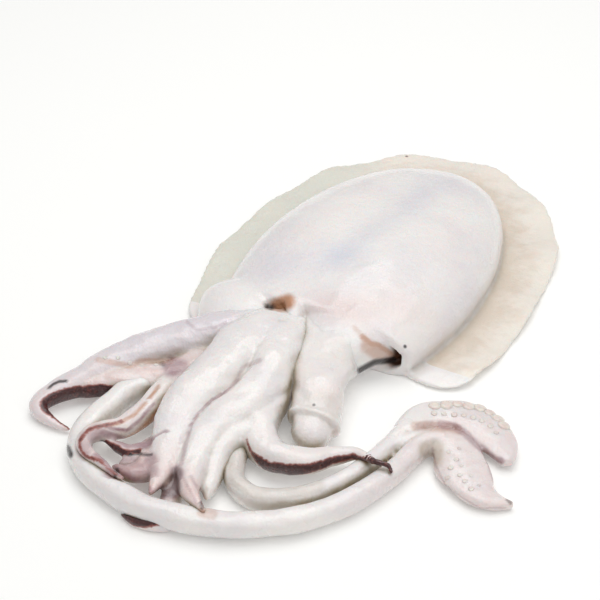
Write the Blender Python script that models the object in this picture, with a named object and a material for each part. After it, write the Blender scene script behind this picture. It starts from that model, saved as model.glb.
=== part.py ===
"""A whole raw cuttlefish, lying belly up on a table with its arms spread.

The animal is one piece, so it is one solid: the mantle bag with its open front, the fin round it,
the head, the funnel, eight arms and two long tentacles that end in clubs.
Lengths below are in millimetres. The origin is on the table under the middle of the mantle,
+Y runs along the body to the tail, +X is the side where the clubs lie, and +Z is up.
"""

import math

import bmesh
import bpy
from mathutils import Vector

MM = 0.001
UP = Vector((0, 0, 1))

# Mantle
MANTLE_HALF_WIDTH = 63
MANTLE_TAIL_Y = 115
MANTLE_FRONT_Y = -64
MANTLE_FRONT_AXIS = 118  # half axis of the ellipse that the open front cuts off
MANTLE_HEIGHT = 35
MANTLE_RIM_HEIGHT = 10  # height of the widest line above the table
MANTLE_LIP_RADIUS = 5
MANTLE_WALL = 5
MANTLE_SECTIONS = 16
MANTLE_SEGMENTS = 36
DENT_DEPTH = 2.5  # the long shallow valley where the empty bag sags
DENT_X = -9
DENT_WIDTH = 14
CAVITY_DEPTH = 26
CAVITY_SEGMENTS = 28

# Fin
FIN_WIDTH = 26
FIN_TAIL_EXTRA = 6
FIN_THICKNESS = 3.4
FIN_OVERLAP = 16  # how far the fin's root reaches under the mantle
FIN_END_RADIUS = 16
FIN_WAVE = 1.2
FIN_WAVES = 7
FIN_SECTIONS = 48
FIN_SEGMENTS = 8
FIN_LEFT_LOBE = 0.1  # angle by which the lobe beside the neck runs on past the mantle's front
FIN_LEFT_NARROWER = 8  # how much narrower the fin gets towards that lobe
# Where the fin swells: angle round the mantle in degrees, reach, extra width
FIN_SWELLS = ((140, 22, 4.0), (38, 18, 3.0))

# Head and neck: centre, half sizes
HEAD = ((-20, -84, 11), (32, 26, 14))
NECK = ((-21, -60, 9.5), (40, 24, 11.5))
HEAD_SEGMENTS = 18

# Collar of skin that joins the mantle's left front to the neck: x, y, z, half width, half height
COLLAR = (
    (-34, -46, 8, 25, 13), (-36, -56, 8.5, 27, 15.6), (-37, -64, 9, 27, 15.6), (-35, -72, 9.5, 26, 14.6),
    (-32, -80, 10, 24, 13.2), (-30, -88, 10, 19, 11.5), (-28, -95, 10, 12, 8),
)

# Funnel stations: x, y, z, half width, half height
FUNNEL = (
    (16, -50, 12, 31, 12.5),
    (16, -64, 12.3, 25, 12.6),
    (16.5, -79, 12.8, 18.5, 11.2),
    (19, -90, 13, 16, 10.5),
    (24, -101, 12.5, 14, 10.5),
    (28, -110, 12, 12.5, 10),
    (32, -121, 10, 12, 8.5),
)
FUNNEL_SEGMENTS = 18
FUNNEL_LIP = 2.2  # radius of the rolled rim
TONGUE = ((28, -108, 10), (31.5, -120, 9), (35, -129, 7.6), (37.5, -135, 5.6), (39, -139, 4))
TONGUE_HALF_WIDTH = 10.6
TONGUE_HALF_HEIGHT = 7.4

# Arms: route, half width, half height, and the power of the taper towards the tip
ARMS = {
    "arm_far_left": (
        ((-22, -66, 13), (-35, -88, 15.5), (-48, -100, 14.5), (-59, -109, 12.5), (-69, -121, 10.5),
         (-77, -134, 9), (-83, -147, 7.5), (-89, -158, 6.5), (-92, -166, 5), (-89, -171, 4),
         (-79, -174, 3), (-70, -174, 2)),
        10.2, 8.8, 2.6,
    ),
    "arm_far_left_fold": (
        ((-28, -100, 11.5), (-40, -117, 9.2), (-49, -125.5, 7.8), (-58, -132, 7), (-68, -139, 7),
         (-78, -147, 6.6), (-86, -155, 6), (-90, -163, 5)),
        7.4, 6.2, 4,
    ),
    "arm_left": (
        ((-34, -105, 9), (-40, -123, 9), (-41, -137, 9), (-41, -147, 9), (-42, -160, 9),
         (-44, -169, 10), (-49, -176, 11.5), (-52, -183, 12.5), (-50, -190, 13), (-44, -194, 13),
         (-37, -196, 12.8), (-29, -199, 12.6), (-22, -200, 12.4)),
        5.8, 5.2, 2.2,
    ),
    "arm_under_left": (
        ((-10, -150, 8), (-23, -172, 8), (-29, -176, 7.5), (-33, -179, 7.5), (-39, -179, 8),
         (-47, -179, 9)),
        4.4, 4.2, 3,
    ),
    "arm_curled": (
        ((-14, -150, 9), (-16, -166, 8.5), (-18, -180, 8), (-20, -188, 8), (-26, -192, 8),
         (-34, -191, 8)),
        8, 5.6, 3.2,
    ),
    "arm_front_left": (
        ((-14, -64, 13), (-16, -79, 17), (-19, -97, 18), (-20, -112, 17.3), (-20.5, -127, 16.3),
         (-22, -140, 15), (-22, -152, 13.5), (-19.5, -163, 12), (-15.5, -174, 11), (-11.5, -184, 10.5),
         (-8.5, -194, 10.5), (-7, -202, 11)),
        13.6, 9.6, 3.4,
    ),
    "arm_front": (
        ((0, -64, 13), (1, -83, 17), (2, -98, 17), (3.3, -112, 16), (3, -124, 15), (1.2, -136, 13.5),
         (-2.5, -147, 12.2), (-4, -160, 10.6), (-2, -173, 9.6), (3, -185, 10), (10, -195, 12),
         (21, -202, 13)),
        10.8, 9.6, 3.4,
    ),
    "arm_bent": (
        ((8, -118, 9), (9, -134, 10), (8.5, -145, 10.8), (6, -152, 10.6), (4.3, -160, 9.2),
         (6, -169, 7.6), (10, -180, 6.2), (13, -188, 5)),
        5.8, 5.4, 7,
    ),
    "arm_right": (
        ((3, -66, 12), (4, -86, 13.5), (4.5, -103, 12.6), (6.5, -119, 11), (9.5, -133, 10),
         (15, -144, 9.2), (24, -151, 8.8), (34, -151.5, 8.5), (43, -147, 8.2), (50, -139, 8),
         (58, -134, 9), (66, -135, 11.5), (73, -137, 13), (81, -139, 11.5)),
        9.6, 9.2, 2.9,
    ),
    "arm_curled_web": (
        ((-14, -158, 7), (-22, -170, 6.5), (-28, -180, 6), (-33, -188, 6)),
        9.5, 3.6, 3,
    ),
    "arm_web": (
        ((-8, -62, 12), (-8, -85, 15), (-8, -102, 15), (-9, -116, 12.5)),
        12, 10, 5,
    ),
    "arm_under_front": (
        ((-6, -165, 6), (-3, -187, 4.5), (0, -198, 3.4), (5, -206, 3.2), (-1, -210, 3),
         (-9, -212, 2.4), (-18, -210, 1.6)),
        5, 4.2, 2.2,
    ),
}
ARM_TIP = 0.9
ARM_SEGMENTS = 10
ARM_RING_SPACING = 7.5
ARM_ROOT = 0.7  # share of the full size at the root, which is sunk in the neck
ARM_ROOT_SHARE = 0.14

# Tentacles: the stalk's route and radius, then the club's route and shape
TENTACLES = {
    "tentacle_outer": {
        "stalk": (
            (-22, -87, 8), (-39, -111, 7), (-57, -137, 6.4), (-60, -153, 6.2), (-61, -167, 6.2),
            (-59, -180, 6.2), (-52, -190, 6.2), (-39, -199, 6.2), (-23, -204, 6.2), (-5, -206, 6.4),
            (12, -204, 6.6), (29, -199, 6.6), (44, -190, 6.4), (56, -180, 6.2), (66, -166, 6),
            (73, -152, 5.8), (78, -136, 5.6), (80, -121, 5.4), (83, -109, 5.2), (89, -102, 4.8),
        ),
        "radius": 6.6,
        "club": (
            (83, -109, 5.2), (88, -103, 4.6), (97, -106, 4.4), (104, -115, 4.2), (111, -121, 4.2),
            (118, -126, 3.8), (125, -127, 3), (133, -125, 2.4),
        ),
        "leaf_width": 8.4, "skew": 0.95, "roundness": 1.0,
    },
    "tentacle_inner": {
        "stalk": (
            (-2, -103, 8), (3, -129, 6.5), (8, -149, 5.4), (13, -163, 5.2), (20, -173, 5.2),
            (32, -177, 5.2), (44, -171, 5.2), (53, -162, 5.2), (61, -148, 5.2), (66, -133, 5.2),
            (69, -118, 5), (70, -105, 4.8), (73, -94, 4.8),
        ),
        "radius": 5.5,
        "club": (
            (70, -105, 4.8), (74, -92, 4.8), (81, -86, 4.6), (91, -82, 4.6), (101, -84.5, 4.6),
            (111, -90, 4.4), (117, -96, 4.2), (121, -102, 4),
        ),
        "leaf_width": 8.4, "skew": 1.5, "roundness": 0.5,
    },
}
STALK_TAPER = 0.2
CLUB_HALF_HEIGHT = 4.6
CLUB_RING_SPACING = 3.6
CLUB_SEGMENTS = 12

# The frill of large suckers along the far edge of the inner tentacle's club
FRILL_COUNT = 10
FRILL_RADIUS = 2.9
FRILL_SPAN = (0.2, 0.88)

TABLE_CUTTER_SIZE = (600, 700, 30)
WELD_DISTANCE = 0.01


def clear_scene():
    for obj in list(bpy.data.objects):
        bpy.data.objects.remove(obj)


def collection_named(name):
    made = bpy.data.collections.new(name)
    bpy.context.scene.collection.children.link(made)
    return made


def smooth_curve(points, t):
    """The value at t, from 0 to 1, of a smooth curve through points that hold any number of values."""
    spans = len(points) - 1
    at = min(t * spans, spans - 1e-9)
    i = int(at)
    u = at - i
    before, here, ahead = points[max(i - 1, 0)], points[i], points[i + 1]
    after = points[min(i + 2, spans)]
    return tuple(
        0.5 * (2 * b + (c - a) * u + (2 * a - 5 * b + 4 * c - d) * u**2 + (3 * b - a - 3 * c + d) * u**3)
        for a, b, c, d in zip(before, here, ahead, after)
    )


def even_stations(points, spacing):
    """Points of the smooth curve about one spacing apart, each with its share of the length."""
    steps = 400
    fine = [smooth_curve(points, i / steps) for i in range(steps + 1)]
    travelled = [0.0]
    for here, ahead in zip(fine, fine[1:]):
        travelled.append(travelled[-1] + math.dist(here[:3], ahead[:3]))
    count = max(4, round(travelled[-1] / spacing))
    stations = []
    j = 0
    for k in range(count + 1):
        target = travelled[-1] * k / count
        while j < steps - 1 and travelled[j + 1] < target:
            j += 1
        part = min(1, (target - travelled[j]) / max(travelled[j + 1] - travelled[j], 1e-9))
        stations.append((k / count, tuple(a + (b - a) * part for a, b in zip(fine[j], fine[j + 1]))))
    return stations


def squarish(value, power=0.86):
    """A circle's coordinate moved out, so that a section is a little squarer than an ellipse."""
    return math.copysign(abs(value) ** power, value)


def add_ring(bm, segments, place):
    """A ring of edges whose points place(cosine, sine) puts in space."""
    made = bmesh.ops.create_circle(bm, segments=segments, radius=1.0)
    for vert in made["verts"]:
        vert.co = Vector(place(vert.co.x, vert.co.y)) * MM
    return list({edge for vert in made["verts"] for edge in vert.link_edges})


def object_from(bm, name, collection):
    mesh = bpy.data.meshes.new(name)
    bm.to_mesh(mesh)
    bm.free()
    obj = bpy.data.objects.new(name, mesh)
    collection.objects.link(obj)
    return obj


def loft_object(name, segments, places, collection):
    """A closed solid through rings, each given by a function of the circle's cosine and sine."""
    bm = bmesh.new()
    rings = [add_ring(bm, segments, place) for place in places]
    for first, second in zip(rings, rings[1:]):
        bmesh.ops.bridge_loops(bm, edges=first + second)
    bmesh.ops.holes_fill(bm, edges=rings[0] + rings[-1])
    bmesh.ops.recalc_face_normals(bm, faces=bm.faces[:])
    return object_from(bm, name, collection)


def ellipsoid(name, centre, half_sizes, collection):
    bm = bmesh.new()
    bmesh.ops.create_uvsphere(bm, u_segments=HEAD_SEGMENTS, v_segments=HEAD_SEGMENTS // 2, radius=1.0)
    bmesh.ops.scale(bm, verts=bm.verts[:], vec=Vector(half_sizes) * MM)
    bmesh.ops.translate(bm, verts=bm.verts[:], vec=Vector(centre) * MM)
    return object_from(bm, name, collection)


def limb_places(stations, half_width, half_height):
    """Ring places along stations. Both half sizes are functions of the share of the length."""
    points = [Vector(point[:3]) for _, point in stations]
    places = []
    for i, (share, _) in enumerate(stations):
        ahead = points[min(i + 1, len(points) - 1)] - points[max(i - 1, 0)]
        side = ahead.cross(UP).normalized()
        over = side.cross(ahead).normalized()

        def place(across, high, at=points[i], side=side, over=over, share=share):
            wide = side * squarish(across) * half_width(share)
            return at + wide + over * squarish(high) * half_height(share)

        places.append(place)
    return places


def taper(size, power):
    """Half size along a limb: a narrower root, the full size, and a taper to the tip."""

    def half_size(share):
        root = min(1, ARM_ROOT + (1 - ARM_ROOT) * share / ARM_ROOT_SHARE)
        return size * root * (1 - share**power) + ARM_TIP

    return half_size


def make_arms(collection):
    for name, (route, half_width, half_height, power) in ARMS.items():
        stations = even_stations(route, ARM_RING_SPACING)
        places = limb_places(stations, taper(half_width, power), taper(half_height, power))
        loft_object(name, ARM_SEGMENTS, places, collection)


def leaf_half_width(share, tentacle):
    """The club's half width: the stalk's radius fading into a leaf that swells and closes."""
    swell = math.sin(math.pi * min(share, 0.985) ** tentacle["skew"]) ** tentacle["roundness"]
    return tentacle["radius"] * (1 - share) * 0.85 + tentacle["leaf_width"] * swell + ARM_TIP


def leaf_half_height(share):
    return CLUB_HALF_HEIGHT * (1 - 0.55 * share**3)


def make_clubs(collection):
    for name, tentacle in TENTACLES.items():
        stations = even_stations(tentacle["club"], CLUB_RING_SPACING)

        def half_width(share, tentacle=tentacle):
            return leaf_half_width(share, tentacle)

        places = limb_places(stations, half_width, leaf_half_height)
        loft_object(name + "_club", CLUB_SEGMENTS, places, collection)


def meshed(obj):
    """The object's shape with its modifiers or its bevel as a mesh."""
    graph = bpy.context.evaluated_depsgraph_get()
    return bpy.data.meshes.new_from_object(obj.evaluated_get(graph))


def make_stalks(collection):
    """Each stalk is a round bevelled curve, made a mesh so that it can be joined to the body."""
    for name, tentacle in TENTACLES.items():
        curve = bpy.data.curves.new(name, "CURVE")
        curve.dimensions = "3D"
        curve.bevel_depth = tentacle["radius"] * MM
        curve.bevel_resolution = 2
        curve.use_fill_caps = True
        stations = even_stations(tentacle["stalk"], tentacle["radius"] * 1.2)
        spline = curve.splines.new("POLY")
        spline.points.add(len(stations) - 1)
        for point, (share, at) in zip(spline.points, stations):
            point.co = (*(Vector(at) * MM), 1)
            point.radius = 1 - STALK_TAPER * share
        tube = bpy.data.objects.new(name + "_curve", curve)
        collection.objects.link(tube)
        bm = bmesh.new()
        bm.from_mesh(meshed(tube))
        bmesh.ops.remove_doubles(bm, verts=bm.verts[:], dist=WELD_DISTANCE * MM)
        object_from(bm, name + "_stalk", collection)
        bpy.data.objects.remove(tube)


def make_frill(collection):
    """Half-sunk suckers along the far edge of the rounded club."""
    tentacle = TENTACLES["tentacle_inner"]
    route = tentacle["club"]
    for i in range(FRILL_COUNT):
        share = FRILL_SPAN[0] + (FRILL_SPAN[1] - FRILL_SPAN[0]) * i / (FRILL_COUNT - 1)
        at = Vector(smooth_curve(route, share))
        ahead = Vector(smooth_curve(route, share + 0.02)) - Vector(smooth_curve(route, share - 0.02))
        outward = UP.cross(ahead).normalized()
        reach = leaf_half_width(share, tentacle) - 0.6
        bm = bmesh.new()
        bmesh.ops.create_icosphere(bm, subdivisions=1, radius=FRILL_RADIUS * MM)
        bmesh.ops.translate(bm, verts=bm.verts[:], vec=(at + outward * reach) * MM)
        object_from(bm, f"frill_{i}", collection)


def mantle_outline(y):
    """Half width of the mantle at y."""
    axis = MANTLE_TAIL_Y if y > 0 else MANTLE_FRONT_AXIS
    return MANTLE_HALF_WIDTH * math.sqrt(max(0.0, 1 - (y / axis) ** 2))


def mantle_rise(y):
    """Height of the mantle's middle above its widest line, at y."""
    rise = MANTLE_HEIGHT - MANTLE_RIM_HEIGHT
    if y < 0:
        return rise * (1 - 0.32 * (y / MANTLE_FRONT_Y) ** 1.4)
    return rise * math.sqrt(max(0.0, 1 - (y / MANTLE_TAIL_Y) ** 2.4))


def dent(x, y):
    """Depth of the valley along the middle, which fades out at the tail and at the front."""
    along = math.sin(math.pi * (y - MANTLE_FRONT_Y) / (MANTLE_TAIL_Y - MANTLE_FRONT_Y))
    return DENT_DEPTH * max(0.0, along) * math.exp(-(((x - DENT_X) / DENT_WIDTH) ** 2))


def mantle_place(y, shrink=0.0, inset=0.0):
    """One section of the mantle. Shrink rounds its ends off, and inset moves it inside the wall."""
    half_width = max(mantle_outline(y) * (1 - shrink) - inset, 0.6)
    rise = max(mantle_rise(y) * (1 - shrink) - inset, 0.4)
    rim = MANTLE_RIM_HEIGHT * (1 - 0.35 * max(y, 0) / MANTLE_TAIL_Y)
    drop = (rim + 2 - inset * 1.4) * (1 - shrink)

    def place(across, high):
        x = half_width * squarish(across)
        if high < 0:
            return (x, y, rim - drop * min(1, -high * 1.9))
        return (x, y, rim + rise * high**0.9 - dent(x, y) * (1 - shrink) * high)

    return place


def make_mantle(collection):
    lip = []
    for angle in (0.0, 0.55, 1.1):
        y = MANTLE_FRONT_Y + MANTLE_LIP_RADIUS * (1 - math.cos(angle))
        lip.append(mantle_place(y, shrink=0.16 * (1 - math.sin(angle)) ** 1.5))
    start = MANTLE_FRONT_Y + MANTLE_LIP_RADIUS
    body = []
    for i in range(MANTLE_SECTIONS):
        along = math.sin(i / MANTLE_SECTIONS * math.pi / 2)
        body.append(mantle_place(start + (MANTLE_TAIL_Y - start) * along))
    tail = [mantle_place(MANTLE_TAIL_Y - 0.3)]
    return loft_object("cuttlefish", MANTLE_SEGMENTS, lip + body + tail, collection)


def make_cavity(cutters):
    """The room inside the open front of the bag, a section of the mantle moved in by the wall."""
    back = MANTLE_FRONT_Y + CAVITY_DEPTH
    places = [
        mantle_place(MANTLE_FRONT_Y - 12, inset=MANTLE_WALL),
        mantle_place(MANTLE_FRONT_Y + 8, inset=MANTLE_WALL),
        mantle_place(back - 6, shrink=0.06, inset=MANTLE_WALL),
        mantle_place(back, shrink=0.3, inset=MANTLE_WALL),
    ]
    return loft_object("cavity_cutter", CAVITY_SEGMENTS, places, cutters)


def make_collar(collection):
    """Rings of the collar from inside the mantle out to the neck."""
    places = []
    for _, (x, y, z, half_width, half_height) in even_stations(COLLAR, 8):

        def place(across, high, x=x, y=y, z=z, half_width=half_width, half_height=half_height):
            up = half_height * squarish(high) if high > 0 else (z + 1) * high
            return (x + half_width * squarish(across), y, z + up)

        places.append(place)
    loft_object("collar", HEAD_SEGMENTS, places, collection)


def fin_width(angle, start, end):
    """Width of the fin at an angle round the mantle, closing in a rounded lobe at both ends."""
    width = FIN_WIDTH + FIN_TAIL_EXTRA * max(0, math.sin(angle)) ** 2
    width -= FIN_LEFT_NARROWER * max(0, -2 * math.sin(angle)) * max(0, -math.cos(angle))
    for middle, reach, extra in FIN_SWELLS:
        width += extra * math.exp(-(((math.degrees(angle) - middle) / reach) ** 2))
    from_end = min(angle - start, end - angle) * MANTLE_HALF_WIDTH * 1.5
    closing = 1 - min(1, from_end / FIN_END_RADIUS)
    return width * (0.02 + 0.98 * math.sqrt(1 - closing**2))


def fin_place(angle, start, end):
    axis = MANTLE_TAIL_Y if math.sin(angle) > 0 else MANTLE_FRONT_AXIS
    edge = Vector((MANTLE_HALF_WIDTH * math.cos(angle), axis * math.sin(angle), 0))
    outward = Vector((math.cos(angle) / MANTLE_HALF_WIDTH, math.sin(angle) / axis, 0)).normalized()
    width = fin_width(angle, start, end)
    half = (width + FIN_OVERLAP) / 2
    middle = edge + outward * (width - FIN_OVERLAP) / 2
    wave = FIN_WAVE * (1 + math.sin(FIN_WAVES * 2 * angle)) * width / FIN_WIDTH

    def place(across, high):
        outer = (1 + across) / 2
        lift = FIN_THICKNESS / 2 - 0.2 + wave * outer**2
        thick = FIN_THICKNESS / 2 * (1.5 - 0.8 * outer)
        return middle + outward * half * across + UP * (lift + thick * high)

    return place


def make_fin(collection):
    start = math.asin(MANTLE_FRONT_Y / MANTLE_FRONT_AXIS) + 0.02
    end = math.pi - start + FIN_LEFT_LOBE
    lobe = (0.0, 0.02, 0.06, 0.11, 0.16, 0.2)
    middle = end - start - 2 * lobe[-1]
    angles = [start + a for a in lobe[:-1]]
    angles += [start + lobe[-1] + middle * i / FIN_SECTIONS for i in range(FIN_SECTIONS + 1)]
    angles += [end - a for a in reversed(lobe[:-1])]
    loft_object("fin", FIN_SEGMENTS, [fin_place(a, start, end) for a in angles], collection)


def make_funnel_lip(collection):
    """The rolled rim at the funnel's mouth, a ring whose section turns through a round profile."""
    mouth = Vector(FUNNEL[-1][:3])
    half_width, half_height = FUNNEL[-1][3:]
    ahead = (mouth - Vector(FUNNEL[-2][:3])).normalized()
    side = ahead.cross(UP).normalized()
    over = side.cross(ahead)
    places = []
    for angle in (-150, -90, -30, 30, 90, 150):
        centre = mouth + ahead * FUNNEL_LIP * math.sin(math.radians(angle))
        out = FUNNEL_LIP * (math.cos(math.radians(angle)) - 0.4)

        def place(across, high, centre=centre, out=out):
            return centre + side * across * (half_width + out) + over * high * (half_height + out)

        places.append(place)
    loft_object("funnel_lip", FUNNEL_SEGMENTS, places, collection)


def make_funnel(collection):
    places = limb_places(
        even_stations(FUNNEL, 7),
        lambda share: smooth_curve(FUNNEL, share)[3],
        lambda share: smooth_curve(FUNNEL, share)[4],
    )
    loft_object("funnel", FUNNEL_SEGMENTS, places, collection)
    make_funnel_lip(collection)
    stations = even_stations(TONGUE, 5)
    places = limb_places(stations, taper(TONGUE_HALF_WIDTH, 3), taper(TONGUE_HALF_HEIGHT, 3))
    loft_object("funnel_tongue", CLUB_SEGMENTS, places, collection)


def apply_boolean(obj, operation, cutter=None, collection=None):
    """Join or cut with the solver for closed solids, which takes this many lofts quickly."""
    modifier = obj.modifiers.new(operation.lower(), "BOOLEAN")
    modifier.operation = operation
    modifier.solver = "MANIFOLD"
    if cutter:
        modifier.object = cutter
    else:
        modifier.operand_type = "COLLECTION"
        modifier.collection = collection
    shaped = meshed(obj)
    obj.modifiers.clear()
    obj.data = shaped


def table_cutter(cutters):
    """A block whose top is the table, to trim the underside flat."""
    size = Vector(TABLE_CUTTER_SIZE)
    bm = bmesh.new()
    bmesh.ops.create_cube(bm, size=1.0)
    bmesh.ops.scale(bm, verts=bm.verts[:], vec=size * MM)
    bmesh.ops.translate(bm, verts=bm.verts[:], vec=UP * -size.z / 2 * MM)
    return object_from(bm, "table_cutter", cutters)


def island_of(start):
    """All faces joined to the first one."""
    found = {start}
    waiting = [start]
    while waiting:
        for edge in waiting.pop().edges:
            for face in edge.link_faces:
                if face not in found:
                    found.add(face)
                    waiting.append(face)
    return found


def keep_largest_island(mesh):
    """Weld the seams of the joins and drop the scraps that they leave."""
    bm = bmesh.new()
    bm.from_mesh(mesh)
    bmesh.ops.remove_doubles(bm, verts=bm.verts[:], dist=WELD_DISTANCE * MM)
    bmesh.ops.dissolve_degenerate(bm, edges=bm.edges[:], dist=WELD_DISTANCE * MM)
    left = set(bm.faces)
    largest = set()
    while left:
        island = island_of(next(iter(left)))
        left -= island
        if len(island) > len(largest):
            largest = island
    scraps = [face for face in bm.faces if face not in largest]
    bmesh.ops.delete(bm, geom=scraps, context="FACES")
    bm.to_mesh(mesh)
    bm.free()


def flesh_material():
    material = bpy.data.materials.new("flesh")
    material.use_nodes = True
    shader = material.node_tree.nodes["Principled BSDF"]
    shader.inputs["Base Color"].default_value = (0.84, 0.79, 0.77, 1)
    shader.inputs["Roughness"].default_value = 0.35
    shader.inputs["Metallic"].default_value = 0.0
    return material


def remove_group(group):
    for obj in list(group.objects):
        bpy.data.objects.remove(obj)
    bpy.data.collections.remove(group)


def main():
    clear_scene()
    whole = collection_named("cuttlefish")
    limbs = collection_named("limbs")
    cutters = collection_named("cutters")
    body = make_mantle(whole)
    apply_boolean(body, "DIFFERENCE", make_cavity(cutters))
    ellipsoid("head", *HEAD, limbs)
    ellipsoid("neck", *NECK, limbs)
    make_collar(limbs)
    make_fin(limbs)
    make_funnel(limbs)
    make_arms(limbs)
    make_stalks(limbs)
    make_clubs(limbs)
    make_frill(limbs)
    apply_boolean(body, "UNION", collection=limbs)
    apply_boolean(body, "DIFFERENCE", table_cutter(cutters))
    keep_largest_island(body.data)
    remove_group(limbs)
    remove_group(cutters)
    body.data.materials.clear()
    body.data.materials.append(flesh_material())
    body.data.shade_smooth()
    body.data.set_sharp_from_angle(angle=math.radians(50))


main()
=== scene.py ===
"""A whole raw cuttlefish, lying belly up with its arms spread, dressed over the fixed frame.

The body, the arms and the tentacles are each lofted from rings, wrapped in one fine even skin
and smoothed, as soft flesh runs together. What the skin looks like at each place is worked out on
the lofts and carried over to the fine skin as named values that the materials read.
Lengths in the tables are millimetres, in the frame's own place and directions.
"""

import math

import bmesh
import bpy
import numpy as np
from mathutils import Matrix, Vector, kdtree, noise
from mathutils.bvhtree import BVHTree


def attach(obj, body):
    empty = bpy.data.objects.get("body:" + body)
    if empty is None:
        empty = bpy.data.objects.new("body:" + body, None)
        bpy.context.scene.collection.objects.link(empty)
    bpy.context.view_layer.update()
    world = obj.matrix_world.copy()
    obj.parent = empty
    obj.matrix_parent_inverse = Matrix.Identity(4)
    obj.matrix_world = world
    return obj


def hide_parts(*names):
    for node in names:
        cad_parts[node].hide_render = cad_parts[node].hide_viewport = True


bl_info = {
    "name": "Raw Cuttlefish",
    "version": (1, 0, 0),
    "blender": (4, 5, 0),
    "location": "3D View > Sidebar > Cuttlefish",
    "description": "Models a whole raw cuttlefish with wet translucent flesh on a pale table",
    "category": "Add Mesh",
}

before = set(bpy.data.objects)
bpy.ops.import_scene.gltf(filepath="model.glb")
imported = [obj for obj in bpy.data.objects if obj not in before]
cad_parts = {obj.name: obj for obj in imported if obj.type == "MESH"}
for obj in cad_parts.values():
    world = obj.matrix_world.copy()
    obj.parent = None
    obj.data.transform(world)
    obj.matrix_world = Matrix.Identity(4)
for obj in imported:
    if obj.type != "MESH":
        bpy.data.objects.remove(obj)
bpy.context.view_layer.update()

NODE = "cuttlefish"
MM = 0.001
UP = Vector((0, 0, 1))

# How far crowding flesh is looked for, in metres, and which share of the directions it fills, for the olive
# shade that is painted where other flesh hems a place in
CROWD_START = 0.0012
CROWD_REACH = 0.024
CROWD_FROM = 0.10
CROWD_FULL = 0.62
CROWD_RAYS = ((35, 4), (65, 5))  # degrees away from straight out, and how many rays at that tilt

# Mantle
FRONT_AXIS = 118  # half axis of the ellipse that the open front cuts off
RIM_HEIGHT = 10  # height of the widest line above the table
RIM_DROP = 0.35  # share of that height that is lost towards the tail
FRONT_FALL, FRONT_CURVE = 0.32, 1.4  # how much lower the front is, and how late it falls
TAIL_CURVE = 2.4  # how full the back stays towards the tail
DENT_DEPTH = 2.5  # the long shallow valley where the empty bag sags
DENT_X = -9
DENT_WIDTH = 14
CAVITY_DEPTH = 26
CAVITY_RINGS = 22
CAVITY_CLOSING = 0.3  # how much smaller the back of the open room is
LIP_DEPTH = 3  # how far behind the front the lip starts to turn
LIP_RINGS = 9
LIP_ROUNDNESS = 2.4  # how far the lip swells forward again while it turns
LIP_DRAWN_IN = 0.09
MANTLE_RINGS = 84
MANTLE_SEGMENTS = 150
# Faint furrows behind the front margin: start x and y, slant, reach
WRINKLES = ((16, -56, 0.25, 13), (31, -53, 0.25, 12), (47, -46, 0.5, 10), (2, -58, 0.1, 8))
WRINKLE_DEPTH, WRINKLE_WIDTH = 0.7, 1.6

# Soft casts on the belly: x, y, reach across and along, turn in degrees, strength
LILAC_PATCHES = (
    (-34, -42, 16, 14, 0, 0.8), (6, 62, 12, 34, 0, 0.55), (22, 80, 14, 14, 0, 0.5),
    (-44, -8, 10, 26, 0, 0.35), (38, -18, 14, 20, 0, 0.25),
)
BLUE_PATCHES = ((-7, -22, 11, 12, 0, 0.6), (-1, -4, 9, 26, -8, 0.4), (6, 44, 8, 26, 0, 0.3))
PINK_PATCHES = (
    (-34, -11, 16, 12, 0, 0.25), (36, -42, 22, 12, 18, 0.6), (12, -58, 18, 9, 0, 1.0),
    (40, 20, 16, 26, 0, 0.2), (-24, 40, 12, 30, 0, 0.15),
)

# Fin
FIN_TAIL_EXTRA = 6
FIN_OVERLAP = 16
FIN_END_RADIUS = 16
FIN_BLUNTNESS = 0.45  # power that keeps the fin's section full up to its rim
FIN_WAVE = 1.2
FIN_WAVES = 7
FIN_RIPPLE = 0.35
FIN_NICKS = ((0.9, 7, 3.1), (0.2, 19, 7.7))  # depth, how many and a shift of the rim's unevenness
FIN_BUNCHING = 0.1  # how much closer the sections stand at both ends
FIN_SECTIONS = 260
FIN_SEGMENTS = 40
FIN_LEFT_LOBE = 0.1
FIN_LEFT_NARROWER = 8
# Where the fin swells: angle round the mantle in degrees, reach, extra width
FIN_SWELLS = ((140, 22, 4.0), (38, 18, 3.0))

# Collar of skin that joins the mantle's left front to the neck: x, y, z, half width, half height
COLLAR = (
    (-34, -46, 8, 25, 13), (-36, -56, 8.5, 27, 15.6), (-37, -64, 9, 27, 15.6), (-35, -72, 9.5, 26, 14.6),
    (-32, -80, 10, 24, 13.2), (-30, -88, 10, 19, 11.5), (-28, -95, 10, 12, 8),
)
# The fold that runs from the margin down beside the funnel
LIP_FOLD = ((-15, -58, 24), (-10, -63, 23.5), (-7, -68.5, 21), (-6, -75, 18.5), (-5, -81, 16.5))
LIP_FOLD_SIZE = 3.4
# The funnel's root, where it runs into the mantle's margin: x, y, z, half width, half height
FUNNEL_ROOT = (
    (18, -44, 11, 30, 13), (18, -54, 11.5, 29.5, 14.2), (16.5, -62, 12, 26, 14), (16, -70, 12.3, 21.5, 12.8),
    (16.5, -78, 12.4, 17.5, 10.8), (17, -84, 12.4, 14, 9),
)
BLEND_SEGMENTS = 60  # corners of each ring of the collar and of the funnel's root
# The small dark hole between the mantle and the neck: centre, half sizes, depth
NOTCH = ((-20.5, -66), (5.2, 3.6), 5)
NOTCH_LEVEL = 9  # nothing below this height is pressed in

# Head and neck: centre, half sizes
HEAD = ((-20, -84, 11), (32, 26, 14))
NECK = ((-21, -60, 9.5), (40, 24, 11.5))

# Funnel stations: x, y, z, half width, half height
FUNNEL = (
    (16, -50, 12, 31, 12.5),
    (16, -64, 12.3, 25, 12.6),
    (16.5, -79, 12.8, 18.5, 11.2),
    (19, -90, 13, 16, 10.5),
    (24, -101, 12.5, 14, 10.5),
    (28, -110, 12, 12.5, 10),
    (32, -121, 10, 12, 8.5),
)
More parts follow.
